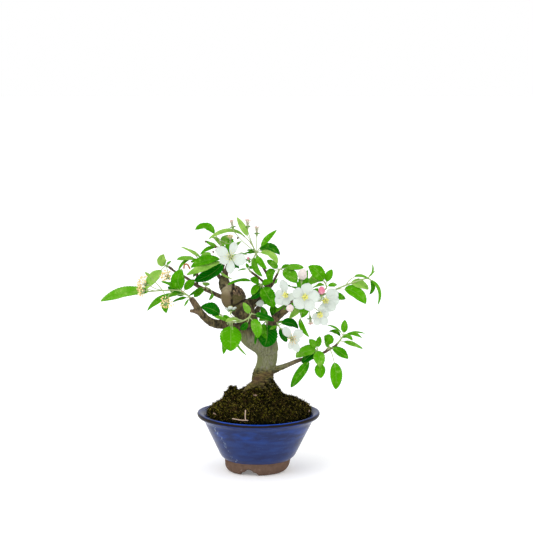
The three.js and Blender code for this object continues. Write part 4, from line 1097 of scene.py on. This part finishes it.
# Painted shade: the side of the callus that faces right is painted nearly black.
colour = bark.mix(bark.step(flank, 0.45, 0.85) * callus * 0.85, colour, (0.02, 0.014, 0.007))
torn = bark.over((0.016, 0.01, 0.005), (0.2, 0.135, 0.075), grain, 0.42, 0.62)
torn = bark.over(torn, (0.38, 0.27, 0.14), mottle, 0.58, 0.64)
colour = bark.mix(cut, colour, torn)
# Painted shade: the fold and the crease are painted nearly black.
colour = bark.mix(crack * 0.85, colour, (0.012, 0.008, 0.004))
rings_raised = rings * bark.step(ragged, *TO_FOOT_BARK)
plates_sunk = plates * bark.step(ragged, *TO_ROUGH_BARK) * (1 - callus)
bark.set(
    Base_Color=colour,
    Normal=bark.relief(grain * 0.6 + rings_raised + mottle * 0.5 - plates_sunk, 0.8),
)


def overgrown(face):
    """Whether moss has crept over a face: out along the left root, and up the foot's right side."""
    middle = face.calc_center_median()
    x, z = middle.xz
    edge = 5 * noise.noise(middle * 0.22)
    on_root = x < -13 and z < 102
    on_foot = x > 6 + edge and z < 113 + edge
    return face.normal.z > -0.2 and z > 80 and (on_root or on_foot)


creeping = planted(
    [face for face in wood.faces if overgrown(face)],
    [sprig("creeping sprig", spikes=7, length=2.6, width=0.42, lean=(8, 78))],
    spacing=2.2, seed=21,
)
piece("moss_creeping", creeping, [moss_green], "moss", "moss")
piece("wood", wood, [bark], "bark", "trunk")

# ------------------------------------------------------------------ leaves and green shoots
# Soft green shoots of this spring's growth, each with a tuft of thin leaves on short stalks.
# A leaf is oval and finely toothed, folded a little along a pale midrib, glossy above and paler
# beneath, with pale patches of highlight painted on both faces. Flower stalks rise from among the
# leaves and widen into a green cup with five sepals.

LEAF_STALK = 0.18  # of the leaf's length
BLADE_OVERLAP = 0.02  # how much of that the blade covers
LEAF_ARCH = 0.1  # of its length
LEAF_FOLD = 0.28  # how far the edges rise, of half the width
LEAF_WAVE = 0.14
LEAF_THICKNESS = 0.3
STALK_RADII = (0.7, 0.55, 0.4)
TOOTH = 0.035  # of the width
FRONT = (0, -0.87, 0.5)  # the way that leaf faces look where a shoot doesn't say
BACK_LEAF_LENGTH = 32
BACK_LEAF_WIDTH = 14
BACK_SHOOT_LENGTH = 7
BACK_OPENING = (28, 52)  # degrees from the shoot: of the inmost leaf, and how much wider the last
UP = Vector((0, 0, 1))


def scatter(index):
    """The same scatter on every run, between 0 and 1."""
    return (math.sin(index * 12.9898) * 43758.5453) % 1


def leaf_outline(u):
    """Half the width of a leaf, of its widest, from its base to its tip."""
    return math.sin(math.pi * u**0.85) ** 0.65 if 0 < u < 1 else 0


def petal_outline(u):
    """Half the width of a petal, of its widest, from its claw to its rounded tip."""
    return math.sin(math.pi * u**1.3) ** 0.6 if 0 < u < 1 else 0


def spine_place(start, bend, end, t):
    """A place along a quadratic curve, and its direction there."""
    place = start * (1 - t) ** 2 + bend * (2 * t * (1 - t)) + end * t * t
    along = ((bend - start) * (1 - t) + (end - bend) * t).normalized()
    return place, along


def add_blade(shape, kind, start, end, face, width, seed, tone=0.5, bow=Vector(), stalk=None):
    """Adds one leaf or petal to a bmesh, as a sheet with its own UV map and tone."""
    length = (end - start).length
    rows = max(8, round(length * kind["rows"]))
    columns = kind["columns"]
    stalk = kind["stalk"] if stalk is None else stalk
    bend = start.lerp(end, 0.5) + (face * kind["arch"] + bow) * length
    made = bmesh.ops.create_grid(shape, x_segments=columns, y_segments=rows, size=0.5, calc_uvs=True)
    tones = shape.verts.layers.float["tone"]
    for vert in made["verts"]:
        side = vert.co.x * 2
        u = vert.co.y + 0.5
        t = stalk + (1 - stalk) * u
        centre, along = spine_place(start, bend, end, t)
        up = (face - along * face.dot(along)).normalized()
        across = along.cross(up)
        half = width / 2 * kind["outline"](min(max(u, 0.004), 0.998))
        row = round(u * rows)
        if abs(side) > 0.99 and 0 < row < rows:
            half *= 1 + kind["tooth"] * (1 if row % 2 else -1)
        ripple = kind["wave"] * math.sin(seed * 5 + t * 9 + side * 1.7)
        frill = kind["frill"] * noise.noise(Vector((seed * 3.1, side * 1.4, t * 5)))
        lift = half * (kind["fold"] + ripple) * abs(side) ** kind["round"]
        lift += half * frill * side * side
        vert.co = centre + across * side * half + up * lift
        vert[tones] = tone


LEAF = {
    "rows": 0.6, "columns": 8, "arch": LEAF_ARCH, "stalk": LEAF_STALK - BLADE_OVERLAP,
    "outline": leaf_outline, "tooth": TOOTH, "wave": LEAF_WAVE, "fold": LEAF_FOLD, "round": 1.15,
    "frill": 0.18,
}


def green_stem(shape, points, radii, sides=8):
    """Adds a round green stem or stalk through points, in a bmesh."""
    rows = [(*point, radius) for point, radius in zip(points, radii)]
    add_limb(shape, rows, sides, 4 * (len(rows) - 1))


def leaf_turned(start, tip, turn, facing):
    """A leaf's tip, the way its upper face looks, and its upward side; turn raises the face."""
    end = Vector(tip)
    along = (end - start).normalized()
    level = (facing - along * facing.dot(along)).normalized()
    side = along.cross(level)
    if side.z < 0:
        side.negate()
    return end, level * math.cos(math.radians(turn)) + side * math.sin(math.radians(turn)), side


def flower_frame(faces):
    """A flower's axis, and its plane's sideways and upward directions."""
    axis = Vector(faces).normalized()
    up = (UP - axis * UP.dot(axis)).normalized()
    return axis, up.cross(axis), up


def around(right, up, degrees):
    """A direction in a flower's plane."""
    angle = math.radians(degrees)
    return right * math.cos(angle) + up * math.sin(angle)


def back_shoot(shoot, index):
    """A back shoot's stem and leaves, worked out from the direction that it grows in."""
    along, right, up = flower_frame(shoot["grows"])
    end = Vector(shoot["wood"][1]) + along * BACK_SHOOT_LENGTH
    count = shoot["leaves"]
    rows = []
    for leaf in range(count):
        opened = math.radians(BACK_OPENING[0] + BACK_OPENING[1] * leaf / count)
        length = BACK_LEAF_LENGTH * (0.7 + 0.45 * scatter(index * 20 + leaf))
        out = around(right, up, leaf * GOLDEN_ANGLE + index * 40)
        tip = end + along * length * math.cos(opened) + out * length * math.sin(opened)
        width = BACK_LEAF_WIDTH * (0.8 + 0.5 * scatter(index * 20 + leaf + 9))
        rows.append((1 - leaf / count, tuple(tip), width, 0))
    faces = along * 0.4 + UP * 0.9
    return {**shoot, "stem": (tuple(end),), "leaves": rows, "faces": tuple(faces)}


def sepal_outline(u):
    """Half the width of a sepal, of its widest, from its base to its point."""
    return (1 - u) ** 0.7


SEPAL = {
    **LEAF, "rows": 1.6, "columns": 4, "stalk": 0, "tooth": 0, "arch": 0.12, "outline": sepal_outline,
}
SEPALS = 5
SEPAL_WIDTH = 2.6
SEPAL_TURN = 96  # degrees round the cup, of the first
# Where a sepal starts and ends: out from the axis, and along it from the top of the cup.
SEPAL_ENDS = ((1.2, -0.5), (5.2, -0.5))
FLOWER_STALK = (0.5, 0.48)  # radii, at its foot and where it bends
CUP = ((5, 0.52), (3, 1.15), (1.6, 1.5), (0, 1.75))  # depths under the cup's top, and radii


def calyx(shape, sepals, start, at, faces):
    """A flower stalk that widens into its cup, and five pointed sepals under the flower."""
    axis, right, up = flower_frame(faces)
    top = Vector(at)
    bend = start.lerp(top - axis * 6, 0.55) + Vector((0, 0, -0.04)) * (top - start).length
    points = [start, bend, *(top - axis * depth for depth, _ in CUP)]
    green_stem(shape, points, [*FLOWER_STALK, *(radius for _, radius in CUP)], sides=10)
    for sepal in range(SEPALS):
        out = around(right, up, SEPAL_TURN + 360 / SEPALS * sepal)
        low, tip = (top + (out * across + axis * along) for across, along in SEPAL_ENDS)
        face = (axis + out * 0.2).normalized()
        add_blade(sepals, SEPAL, low, tip, face, SEPAL_WIDTH, sepal, 0.35)


all_shoots = dict(SHOOTS)
for index, (name, shoot) in enumerate(BACK_SHOOTS.items()):
    all_shoots[name] = back_shoot(shoot, index)

leaf_top = Finish("leaf upper face", Roughness=0.45, Specular_IOR_Level=0.02)
leaf_under = Finish("leaf underside", Roughness=0.6, Specular_IOR_Level=0.02)
for finish, colours in (
    (leaf_top, ((0.0, 0.16, 0.0), (0.1, 0.43, 0.0), (0.44, 0.68, 0.15))),
    (leaf_under, ((0.02, 0.17, 0.005), (0.16, 0.44, 0.01), (0.44, 0.68, 0.2))),
):
    where = finish.place()
    uv = finish.node("ShaderNodeUVMap", {"uv_map": "blade"})
    side = (finish.along(0, uv) - 0.5).maths("ABSOLUTE")
    length = finish.along(1, uv)
    tone = finish.painted("tone")
    midrib = finish.step(side, 0.035, 0.008)
    slanted = (length - side * 0.55) * 8.5
    vein = finish.step((slanted.maths("FRACT") - 0.5).maths("ABSOLUTE"), 0.09, 0.02)
    cloud = finish.noise(where, 9, 3)
    fine = finish.noise(where, 1.1, 3, 0.6)
    dark, bright, pale = colours
    tint = tone + (cloud - 0.5) * 0.5 + (fine - 0.5) * 0.24
    blade_colour = finish.over(dark, bright, tint, 0.08, 0.56)
    blade_colour = finish.over(blade_colour, pale, tint, 0.5, 1)
    # Painted highlight: pale patches painted on both faces of the blade, stronger on lighter leaves.
    painted_shine = finish.step(finish.noise(where, 4.5, 2), 0.54, 0.7)
    blade_colour = finish.mix(painted_shine * tone * 0.6, blade_colour, pale)
    lighter = finish.mix(0.4, blade_colour, pale)
    blade_colour = finish.mix(vein * 0.35 + midrib * 0.8, blade_colour, lighter)
    veined = 1 - vein * 0.4 - midrib + fine * 0.2
    finish.set(Base_Color=blade_colour, Normal=finish.relief(veined, 0.35))
    finish.let_through(0.3, finish.mix(0.3, blade_colour, (0.12, 0.6, 0.0)))

shoot_green = Finish("green shoot", Roughness=0.55)
where = shoot_green.place()
stem_cloud = shoot_green.noise(where, 6, 3)
stem_fine = shoot_green.noise(where, 0.8, 2)
stem_colour = shoot_green.mix(stem_cloud, (0.18, 0.32, 0.05), (0.52, 0.62, 0.3))
stem_colour = shoot_green.over(stem_colour, (0.28, 0.12, 0.07), stem_cloud, 0.58, 0.7, 0.5)
shoot_green.set(Base_Color=stem_colour, Normal=shoot_green.relief(stem_fine, 0.15))
shoot_green.let_through(0.12, (0.3, 0.5, 0.1))


def blades(name, sheets, thickness, finishes, slot, *nodes):
    """Thin sheets given their thickness, with the second finish on the under side."""
    made = piece(name, sheets, finishes, slot, *nodes)
    wall = made.modifiers.new("thickness", "SOLIDIFY")
    wall.thickness = thickness * MM
    wall.offset = 0
    wall.use_even_offset = False
    wall.material_offset = len(finishes) - 1
    return made


def sheets_of_blades():
    """An empty bmesh that blades are added to."""
    made = bmesh.new()
    made.loops.layers.uv.new("blade")
    made.verts.layers.float.new("tone")
    return made


# How light each leaf is, from 0 for deep green through bright green to 1 for pale.
TONES = {
    "left_tip": (0.64, 0.42, 0.42, 0.45, 0.25, 0.55, 0.42, 0.4, 0.8, 0.6),
    "twig_tip": (0.85, 0.82, 0.65),
    "left_upper": (0.7, 0.85, 0.62, 0.45, 0.8),
    "crown": (0.4, 0.78, 0.04, 0.85, 0.1),
    "top_left": (0.42, 0.55, 0.5, 0.75, 0.85),
    "top": (0.85, 0.5, 0.2, 0.85, 0.6, 0.5, 0.88),
    "twig_mid": (0.6, 0.5),
    "right_top": (0.55, 0.5, 0.6, 0.62),
    "heart": (0.32, 0.42, 0.5, 0.45, 0.05, 0.45),
    "front_shoot": (0.5, 0.55, 0.6, 0.6, 0.9, 0.7, 0.62, 0.15, 0.2),
    "knob_leaf": (0.08,),
    "trunk_front": (0.4, 0.1, 0.2, 0.25),
    "left_mid": (0.5, 0.9, 0.6),
    "right_cluster": (0.58, 0.8, 0.45, 0.5),
    "right_under": (0.03, 0.05, 0.6),
    "right_fold": (0.48, 0.68, 0.5),
    "far_right": (0.4, 0.5, 0.84, 0.65, 0.7, 0.3, 0.6, 0.85),
    "low_1": (0.62, 0.12, 0.55, 0.6, 0.45, 0.32, 0.55),
    "low_2": (0.5, 0.5, 0.35, 0.5, 0.4),
    "low_tip": (0.55, 0.6, 0.65, 0.55, 0.55, 0.6, 0.35),
}
SHOOT_GAP = 0.6  # the length of the bud, between a spur and its shoot
SHOOT_CLEAR = 2.6  # the shortest way along a shoot to its lowest leaf stalk
SHOOT_END = 0.97  # how far along a shoot the last stalk leaves it
SHOOT_RADIUS = 1.15
SHOOT_TAPER = 0.4
SPUR_OVERLAP = 1.5  # how far the green shoot reaches back over its spur, and its radius there
FLOWER_STARTS = {"blooms": 0.6, "buds": 0.8, "spent": 0.8}  # along the shoot


def on_shoot(points, share):
    """A place along a shoot, clear of its bud and of its tip."""
    whole = sum((b - a).length for a, b in zip(points, points[1:]))
    return path_place(points, min(max(share, SHOOT_CLEAR / whole), SHOOT_END))


for index, (name, shoot) in enumerate(all_shoots.items()):
    inner, bud = map(Vector, shoot["wood"])
    outward = (bud - inner).normalized()
    points = [bud + outward * SHOOT_GAP, *map(Vector, shoot["stem"])]
    facing = Vector(shoot.get("faces", FRONT)).normalized()
    stems = bmesh.new()
    sheets = sheets_of_blades()
    tones = TONES.get(name, ())
    radii = [SHOOT_RADIUS - SHOOT_TAPER * step / (len(points) - 1) for step in range(len(points))]
    green_stem(stems, [bud - outward * SPUR_OVERLAP, *points], [SPUR_OVERLAP, *radii], sides=12)
    for number, row in enumerate(shoot["leaves"]):
        share, tip, width, turn, bow, stalk = (*row, *(0, LEAF_STALK)[len(row) - 4 :])
        base = on_shoot(points, share)
        end, face, side = leaf_turned(base, tip, turn, facing)
        seed = index * 3 + number
        tone = tones[number] if number < len(tones) else 0.3 + 0.4 * scatter(seed + 50)
        add_blade(sheets, LEAF, base, end, face, width, seed, tone, side * bow, stalk - BLADE_OVERLAP)
        bend = base.lerp(end, 0.5) + (face * LEAF_ARCH + side * bow) * (end - base).length
        reach = [spine_place(base, bend, end, stalk * share_on)[0] for share_on in (0, 0.5, 1.15)]
        green_stem(stems, reach, STALK_RADII, sides=6)
    for kind, start in FLOWER_STARTS.items():
        for at, faces, *_ in shoot.get(kind, ()):
            calyx(stems, sheets, on_shoot(points, start), at, faces)
    closed(stems)
    piece(f"stems_{name}", stems, [shoot_green], "leaf", f"shoot_{name}")
    blades(
        f"leaves_{name}", sheets, LEAF_THICKNESS, [leaf_top, leaf_under],
        "leaf", f"shoot_{name}",
    )

# ------------------------------------------------------------------ open flowers
# Each flower has five thin white petals with narrow claws, faintly veined and flushed pink
# beneath, on the rim of the green cup, and about twenty pale stamens with yellow anthers.

PETAL_RISE = 18  # degrees above the flower's own plane
PETAL_THICKNESS = 0.25
CUP_RISE = 0.75  # from the top of the cup to where the petals stand
STAMENS = 20
FILAMENT_RADII = (0.2, 0.17, 0.13)
FILAMENT_LENGTHS = (0.78, 1)  # of the brush's reach
FILAMENT_RING = 0.9  # how far from the middle of the cup the outermost stand
FILAMENT_BOW = 0.08  # of their length
ANTHER = (0.45, 0.45, 0.75)  # half sizes, before the flower's own size
# Each open flower's reach of the stamens, how far they spread in degrees, and size of anthers.
BRUSHES = (
    (8.5, 62, 0.9), (4.5, 60, 0.8), (6.2, 40, 1.3), (6.4, 42, 1.35), (6.2, 44, 1.3), (6.2, 44, 1.3),
    (8.2, 60, 1.15), (6.5, 50, 1),
)
STAMEN_RISE = 1.4  # from the top of the cup
WORN_BLOOM = 7  # its anthers have dried to orange
PETAL = {
    "rows": 0.75, "columns": 10, "arch": -0.1, "stalk": 0.03, "outline": petal_outline,
    "tooth": 0, "wave": 0.1, "fold": 0.16, "round": 1.6, "frill": 0.22,
}

petal_face = Finish("white petal", Roughness=0.55, Specular_IOR_Level=0.2)
where = petal_face.place()
uv = petal_face.node("ShaderNodeUVMap", {"uv_map": "blade"})
fan = (petal_face.along(0, uv) - 0.5) * 9
ribs = (fan + petal_face.noise(where, 4, 2) * 0.8).maths("FRACT")
rib = petal_face.step((ribs - 0.5).maths("ABSOLUTE"), 0.14, 0.02)
length = petal_face.along(1, uv)
blush = petal_face.noise(where, 8, 3)
white = petal_face.over((0.79, 0.84, 0.79), (0.55, 0.68, 0.3), length, 0.2, 0)
white = petal_face.mix(rib * 0.5, white, (0.5, 0.56, 0.52))
white = petal_face.over(white, (0.8, 0.66, 0.68), blush, 0.62, 0.8, 0.2)
petal_face.set(Base_Color=white, Normal=petal_face.relief(1 - rib, 0.12))
petal_face.let_through(0.3, (0.85, 0.92, 0.88))

anther = mottled("pollen on anthers", 0.5, 2, (0.78, 0.72, 0.06), (0.98, 0.95, 0.3), Roughness=0.8)
old_anther = Finish("spent anthers", Roughness=0.9)
pollen = old_anther.noise(old_anther.place(), 1.6, 3)
old_anther.set(Base_Color=old_anther.over((0.6, 0.27, 0.04), (0.94, 0.77, 0.4), pollen, 0.36, 0.52))
pink_anther = mottled(
    "pink spent anthers", 1.4, 3, (0.62, 0.3, 0.26), (0.88, 0.74, 0.68), Roughness=0.9
)
filament = mottled("pale filament", 3, 2, (0.66, 0.68, 0.42), (0.9, 0.88, 0.76), Roughness=0.6)
filament.let_through(0.3, (0.85, 0.85, 0.6))


def brush(names, nodes, slot, finish, at, faces, count, reach, spread, size, rise, seed):
    """Filaments that rise from the cup in a loose brush, each with an anther across its tip."""
    axis, right, up = flower_frame(faces)
    heart = Vector(at) + axis * rise
    draw = random.Random(seed)
    threads = bmesh.new()
    tips = bmesh.new()
    for stamen in range(count):
        share = (stamen + 0.5) / count
        lean = math.radians(spread * (0.25 + 0.75 * share))
        out = around(right, up, GOLDEN_ANGLE * stamen + draw.uniform(-12, 12))
        length = reach * draw.uniform(*FILAMENT_LENGTHS)
        foot = heart + out * FILAMENT_RING * share - axis * 0.6
        tip = heart + (axis * math.cos(lean) + out * math.sin(lean)) * length
        middle = foot.lerp(tip, 0.5) + axis * length * FILAMENT_BOW
        green_stem(threads, [foot, middle, tip], FILAMENT_RADII, sides=3)
        turn = draw.uniform(0, math.tau)
        lie = out * math.cos(turn) + axis.cross(out) * math.sin(turn) + axis * 0.4
        stand = Matrix.Translation(tip) @ upright(lie) @ Matrix.Diagonal((*ANTHER, 1))
        stand = stand @ Matrix.Scale(size, 4)
        bmesh.ops.create_icosphere(tips, subdivisions=1, radius=1, matrix=stand)
    piece(names[0], closed(threads), [filament], slot, nodes)
    piece(names[1], tips, [finish], slot, nodes)


def every(kind):
    """All the flowers of a kind, in the order of the shoots."""
    return [flower for shoot in all_shoots.values() for flower in shoot.get(kind, ())]


for number, (at, faces, petals) in enumerate(every("blooms"), 1):
    axis, right, up = flower_frame(faces)
    heart = Vector(at) + axis * CUP_RISE
    sheets = sheets_of_blades()
    slope = math.radians(PETAL_RISE)
    for petal, (degrees, length, width) in enumerate(petals):
        out = around(right, up, degrees)
        reach = out * math.cos(slope) + axis * math.sin(slope)
        face = (axis - reach * axis.dot(reach)).normalized()
        add_blade(sheets, PETAL, heart + out, heart + reach * length, face, width, petal + number * 7)
    blades(f"bloom_{number}", sheets, PETAL_THICKNESS, [petal_face], "petal", f"petals_{number}")
    names = (f"filaments_{number}", f"anthers_{number}")
    pollen = old_anther if number == WORN_BLOOM else anther
    brush(
        names, f"stamens_{number}", "stamen", pollen, at, faces,
        STAMENS, *BRUSHES[number - 1], STAMEN_RISE, number,
    )

# ------------------------------------------------------------------ spent flowers
# Flowers whose petals have dropped: a brush of drying filaments with brown or cream anthers.

# Reach of the stamens, their spread in degrees, size of the anthers, and whether they are pink.
SPENT_BRUSHES = (
    (10.3, 76, 2, False), (9, 70, 1.9, False), (9.5, 72, 2, False), (9, 69, 2, False),
    (6, 50, 1, False), (8.5, 22, 0.9, True), (8.5, 30, 0.9, True), (8.5, 26, 0.9, True),
    (7, 34, 1, True),
)
SPENT_STAMENS = 28
SPENT_RISE = 0.6
SPENT_SEEDS = 40

for number, (at, faces) in enumerate(every("spent"), 1):
    *sizes, pink = SPENT_BRUSHES[number - 1]
    names = (f"spent_filaments_{number}", f"spent_anthers_{number}")
    dried = pink_anther if pink else old_anther
    brush(
        names, f"spent_flower_{number}", "spent", dried, at, faces,
        SPENT_STAMENS, *sizes, SPENT_RISE, SPENT_SEEDS + number,
    )

# ------------------------------------------------------------------ buds
# Closed buds, whose white and pink petals are wrapped round each other in a low spiral.

# How pink each bud is, in the order of the shoots: white with a flush, deep pink, or between.
BUD_PINKS = (1, 0.12, 0.85, 0.3)
BUD_STEPS = 28
BUD_SEGMENTS = 60
BUD_PETALS = 5
BUD_TWIST = 1.1  # radians round the bud, in half its length
BUD_SLENDER = 0.78  # of its length, across
BUD_TILTS = [math.pi * step / BUD_STEPS for step in range(BUD_STEPS + 1)]
BUD_OUTLINE = [(math.sin(tilt), -math.cos(tilt)) for tilt in BUD_TILTS]

for number, (at, faces, size) in enumerate(every("buds"), 1):
    axis = Vector(faces).normalized()
    half = size / 2
    bud = spun(BUD_OUTLINE, BUD_SEGMENTS)
    for vert in bud.verts:
        x, y, z = vert.co
        turn = math.atan2(y, x) + BUD_TWIST * z
        overlap = (turn * BUD_PETALS / math.tau) % 1
        fold = 1 + 0.09 * (overlap - 0.5) * (1 - z * z) ** 0.5 + 0.03 * math.cos(BUD_PETALS * turn)
        reach = half * BUD_SLENDER * fold * (1 - 0.12 * z)
        vert.co = (x * reach, y * reach, z * half)
    stand = Matrix.Translation(Vector(at) + axis * (0.3 + half)) @ upright(axis)
    bmesh.ops.transform(bud, matrix=stand, verts=bud.verts)
    bud_skin = Finish(f"bud petals {number}", Roughness=0.5, Specular_IOR_Level=0.2)
    where = bud_skin.place()
    flush = bud_skin.noise(where, 3.5, 3) + (BUD_PINKS[number - 1] - 0.5) * 0.5
    streaks = bud_skin.noise(bud_skin.place((1.4, 1.4, 0.3)), 2, 3)
    skin = bud_skin.over((0.84, 0.79, 0.75), (0.74, 0.2, 0.32), flush, 0.38, 0.66)
    skin = bud_skin.over(skin, (0.66, 0.42, 0.5), streaks, 0.5, 0.62, 0.2)
    bud_skin.set(Base_Color=skin, Normal=bud_skin.relief(bud_skin.noise(where, 1, 3), 0.1))
    bud_skin.let_through(0.2, (0.85, 0.6, 0.6))
    piece(f"closed_bud_{number}", bud, [bud_skin], "bud", f"bud_{number}")

# ------------------------------------------------------------------ litter
# What has dropped: a forked dry twig at the front of the moss, pale scraps of petal on it, dried
# bud scales that still hang among the leaves, and a petal that has stuck in the fork.

STUCK_PETAL = ((-4, -12, 207), (6.7, -12, 208))
STUCK_PETAL_WIDTH = 8.5
STUCK_PETAL_FACES = (0, -0.95, 0.3)

# Dry stems: name, slot, radius, two colours, and the lines that they follow.
for name, slot, radius, dark, light, lines in (
    ("dry_twig", "bark", 0.65, (0.3, 0.19, 0.12), (0.68, 0.52, 0.4), (
        ((-30.8, -56, 75), (-22, -60.5, 74.3), (-12.3, -63, 74.2)),
        ((-15.3, -62.6, 74.4), (-15.6, -61.5, 80), (-15.2, -60, 86)),
    )),
    ("dry_sheath", "leaf", 1, (0.24, 0.06, 0.01), (0.56, 0.2, 0.05), (
        ((-90, -10, 250), (-89, -11, 254.6), (-86, -11, 255), (-82.8, -10, 249.5)),
    )),
):
    made = bmesh.new()
    for points in lines:
        green_stem(made, points, [radius] * len(points), sides=10)
    dried = mottled(name.replace("_", " "), 1.6, 3, dark, light, 0.3, Roughness=0.9)
    piece(name, closed(made), [dried], slot)

# Crumpled scraps: name, slot, half sizes, two colours, and the places that they lie in.
for name, slot, half, dark, light, places in (
    ("petal_scraps", "petal", (2.4, 1.2, 0.9), (0.22, 0.12, 0.08), (0.55, 0.38, 0.32), (
        (-4, -24, 97.3), (61, -16, 75.5), (-52.5, -33, 76),
    )),
    ("bud_scales", "leaf", (1.5, 1, 1.1), (0.03, 0.012, 0.006), (0.14, 0.06, 0.03), (
        (-64, 2, 281), (-52, 6, 274), (-80.5, -2, 257), (-25, -2, 286), (-55, 4, 268.5),
    )),
):
    made = bmesh.new()
    for index, place in enumerate(places):
        stand = Matrix.Translation(place) @ Matrix.Rotation(index * 1.9, 4, "Y")
        stand = stand @ Matrix.Diagonal((*half, 1))
        bmesh.ops.create_icosphere(made, subdivisions=3, radius=1, matrix=stand)
    for vert in made.verts:
        vert.co += vert.co.normalized() * 0.4 * noise.noise(vert.co * 0.8)
    dried = mottled(name.replace("_", " "), 1.4, 3, dark, light, 0.2, Roughness=0.8)
    piece(name, made, [dried], slot)

sheets = sheets_of_blades()
start, end = map(Vector, STUCK_PETAL)
add_blade(sheets, PETAL, start, end, Vector(STUCK_PETAL_FACES), STUCK_PETAL_WIDTH, 3)
blades("stuck_petal", sheets, PETAL_THICKNESS, [petal_face], "petal")
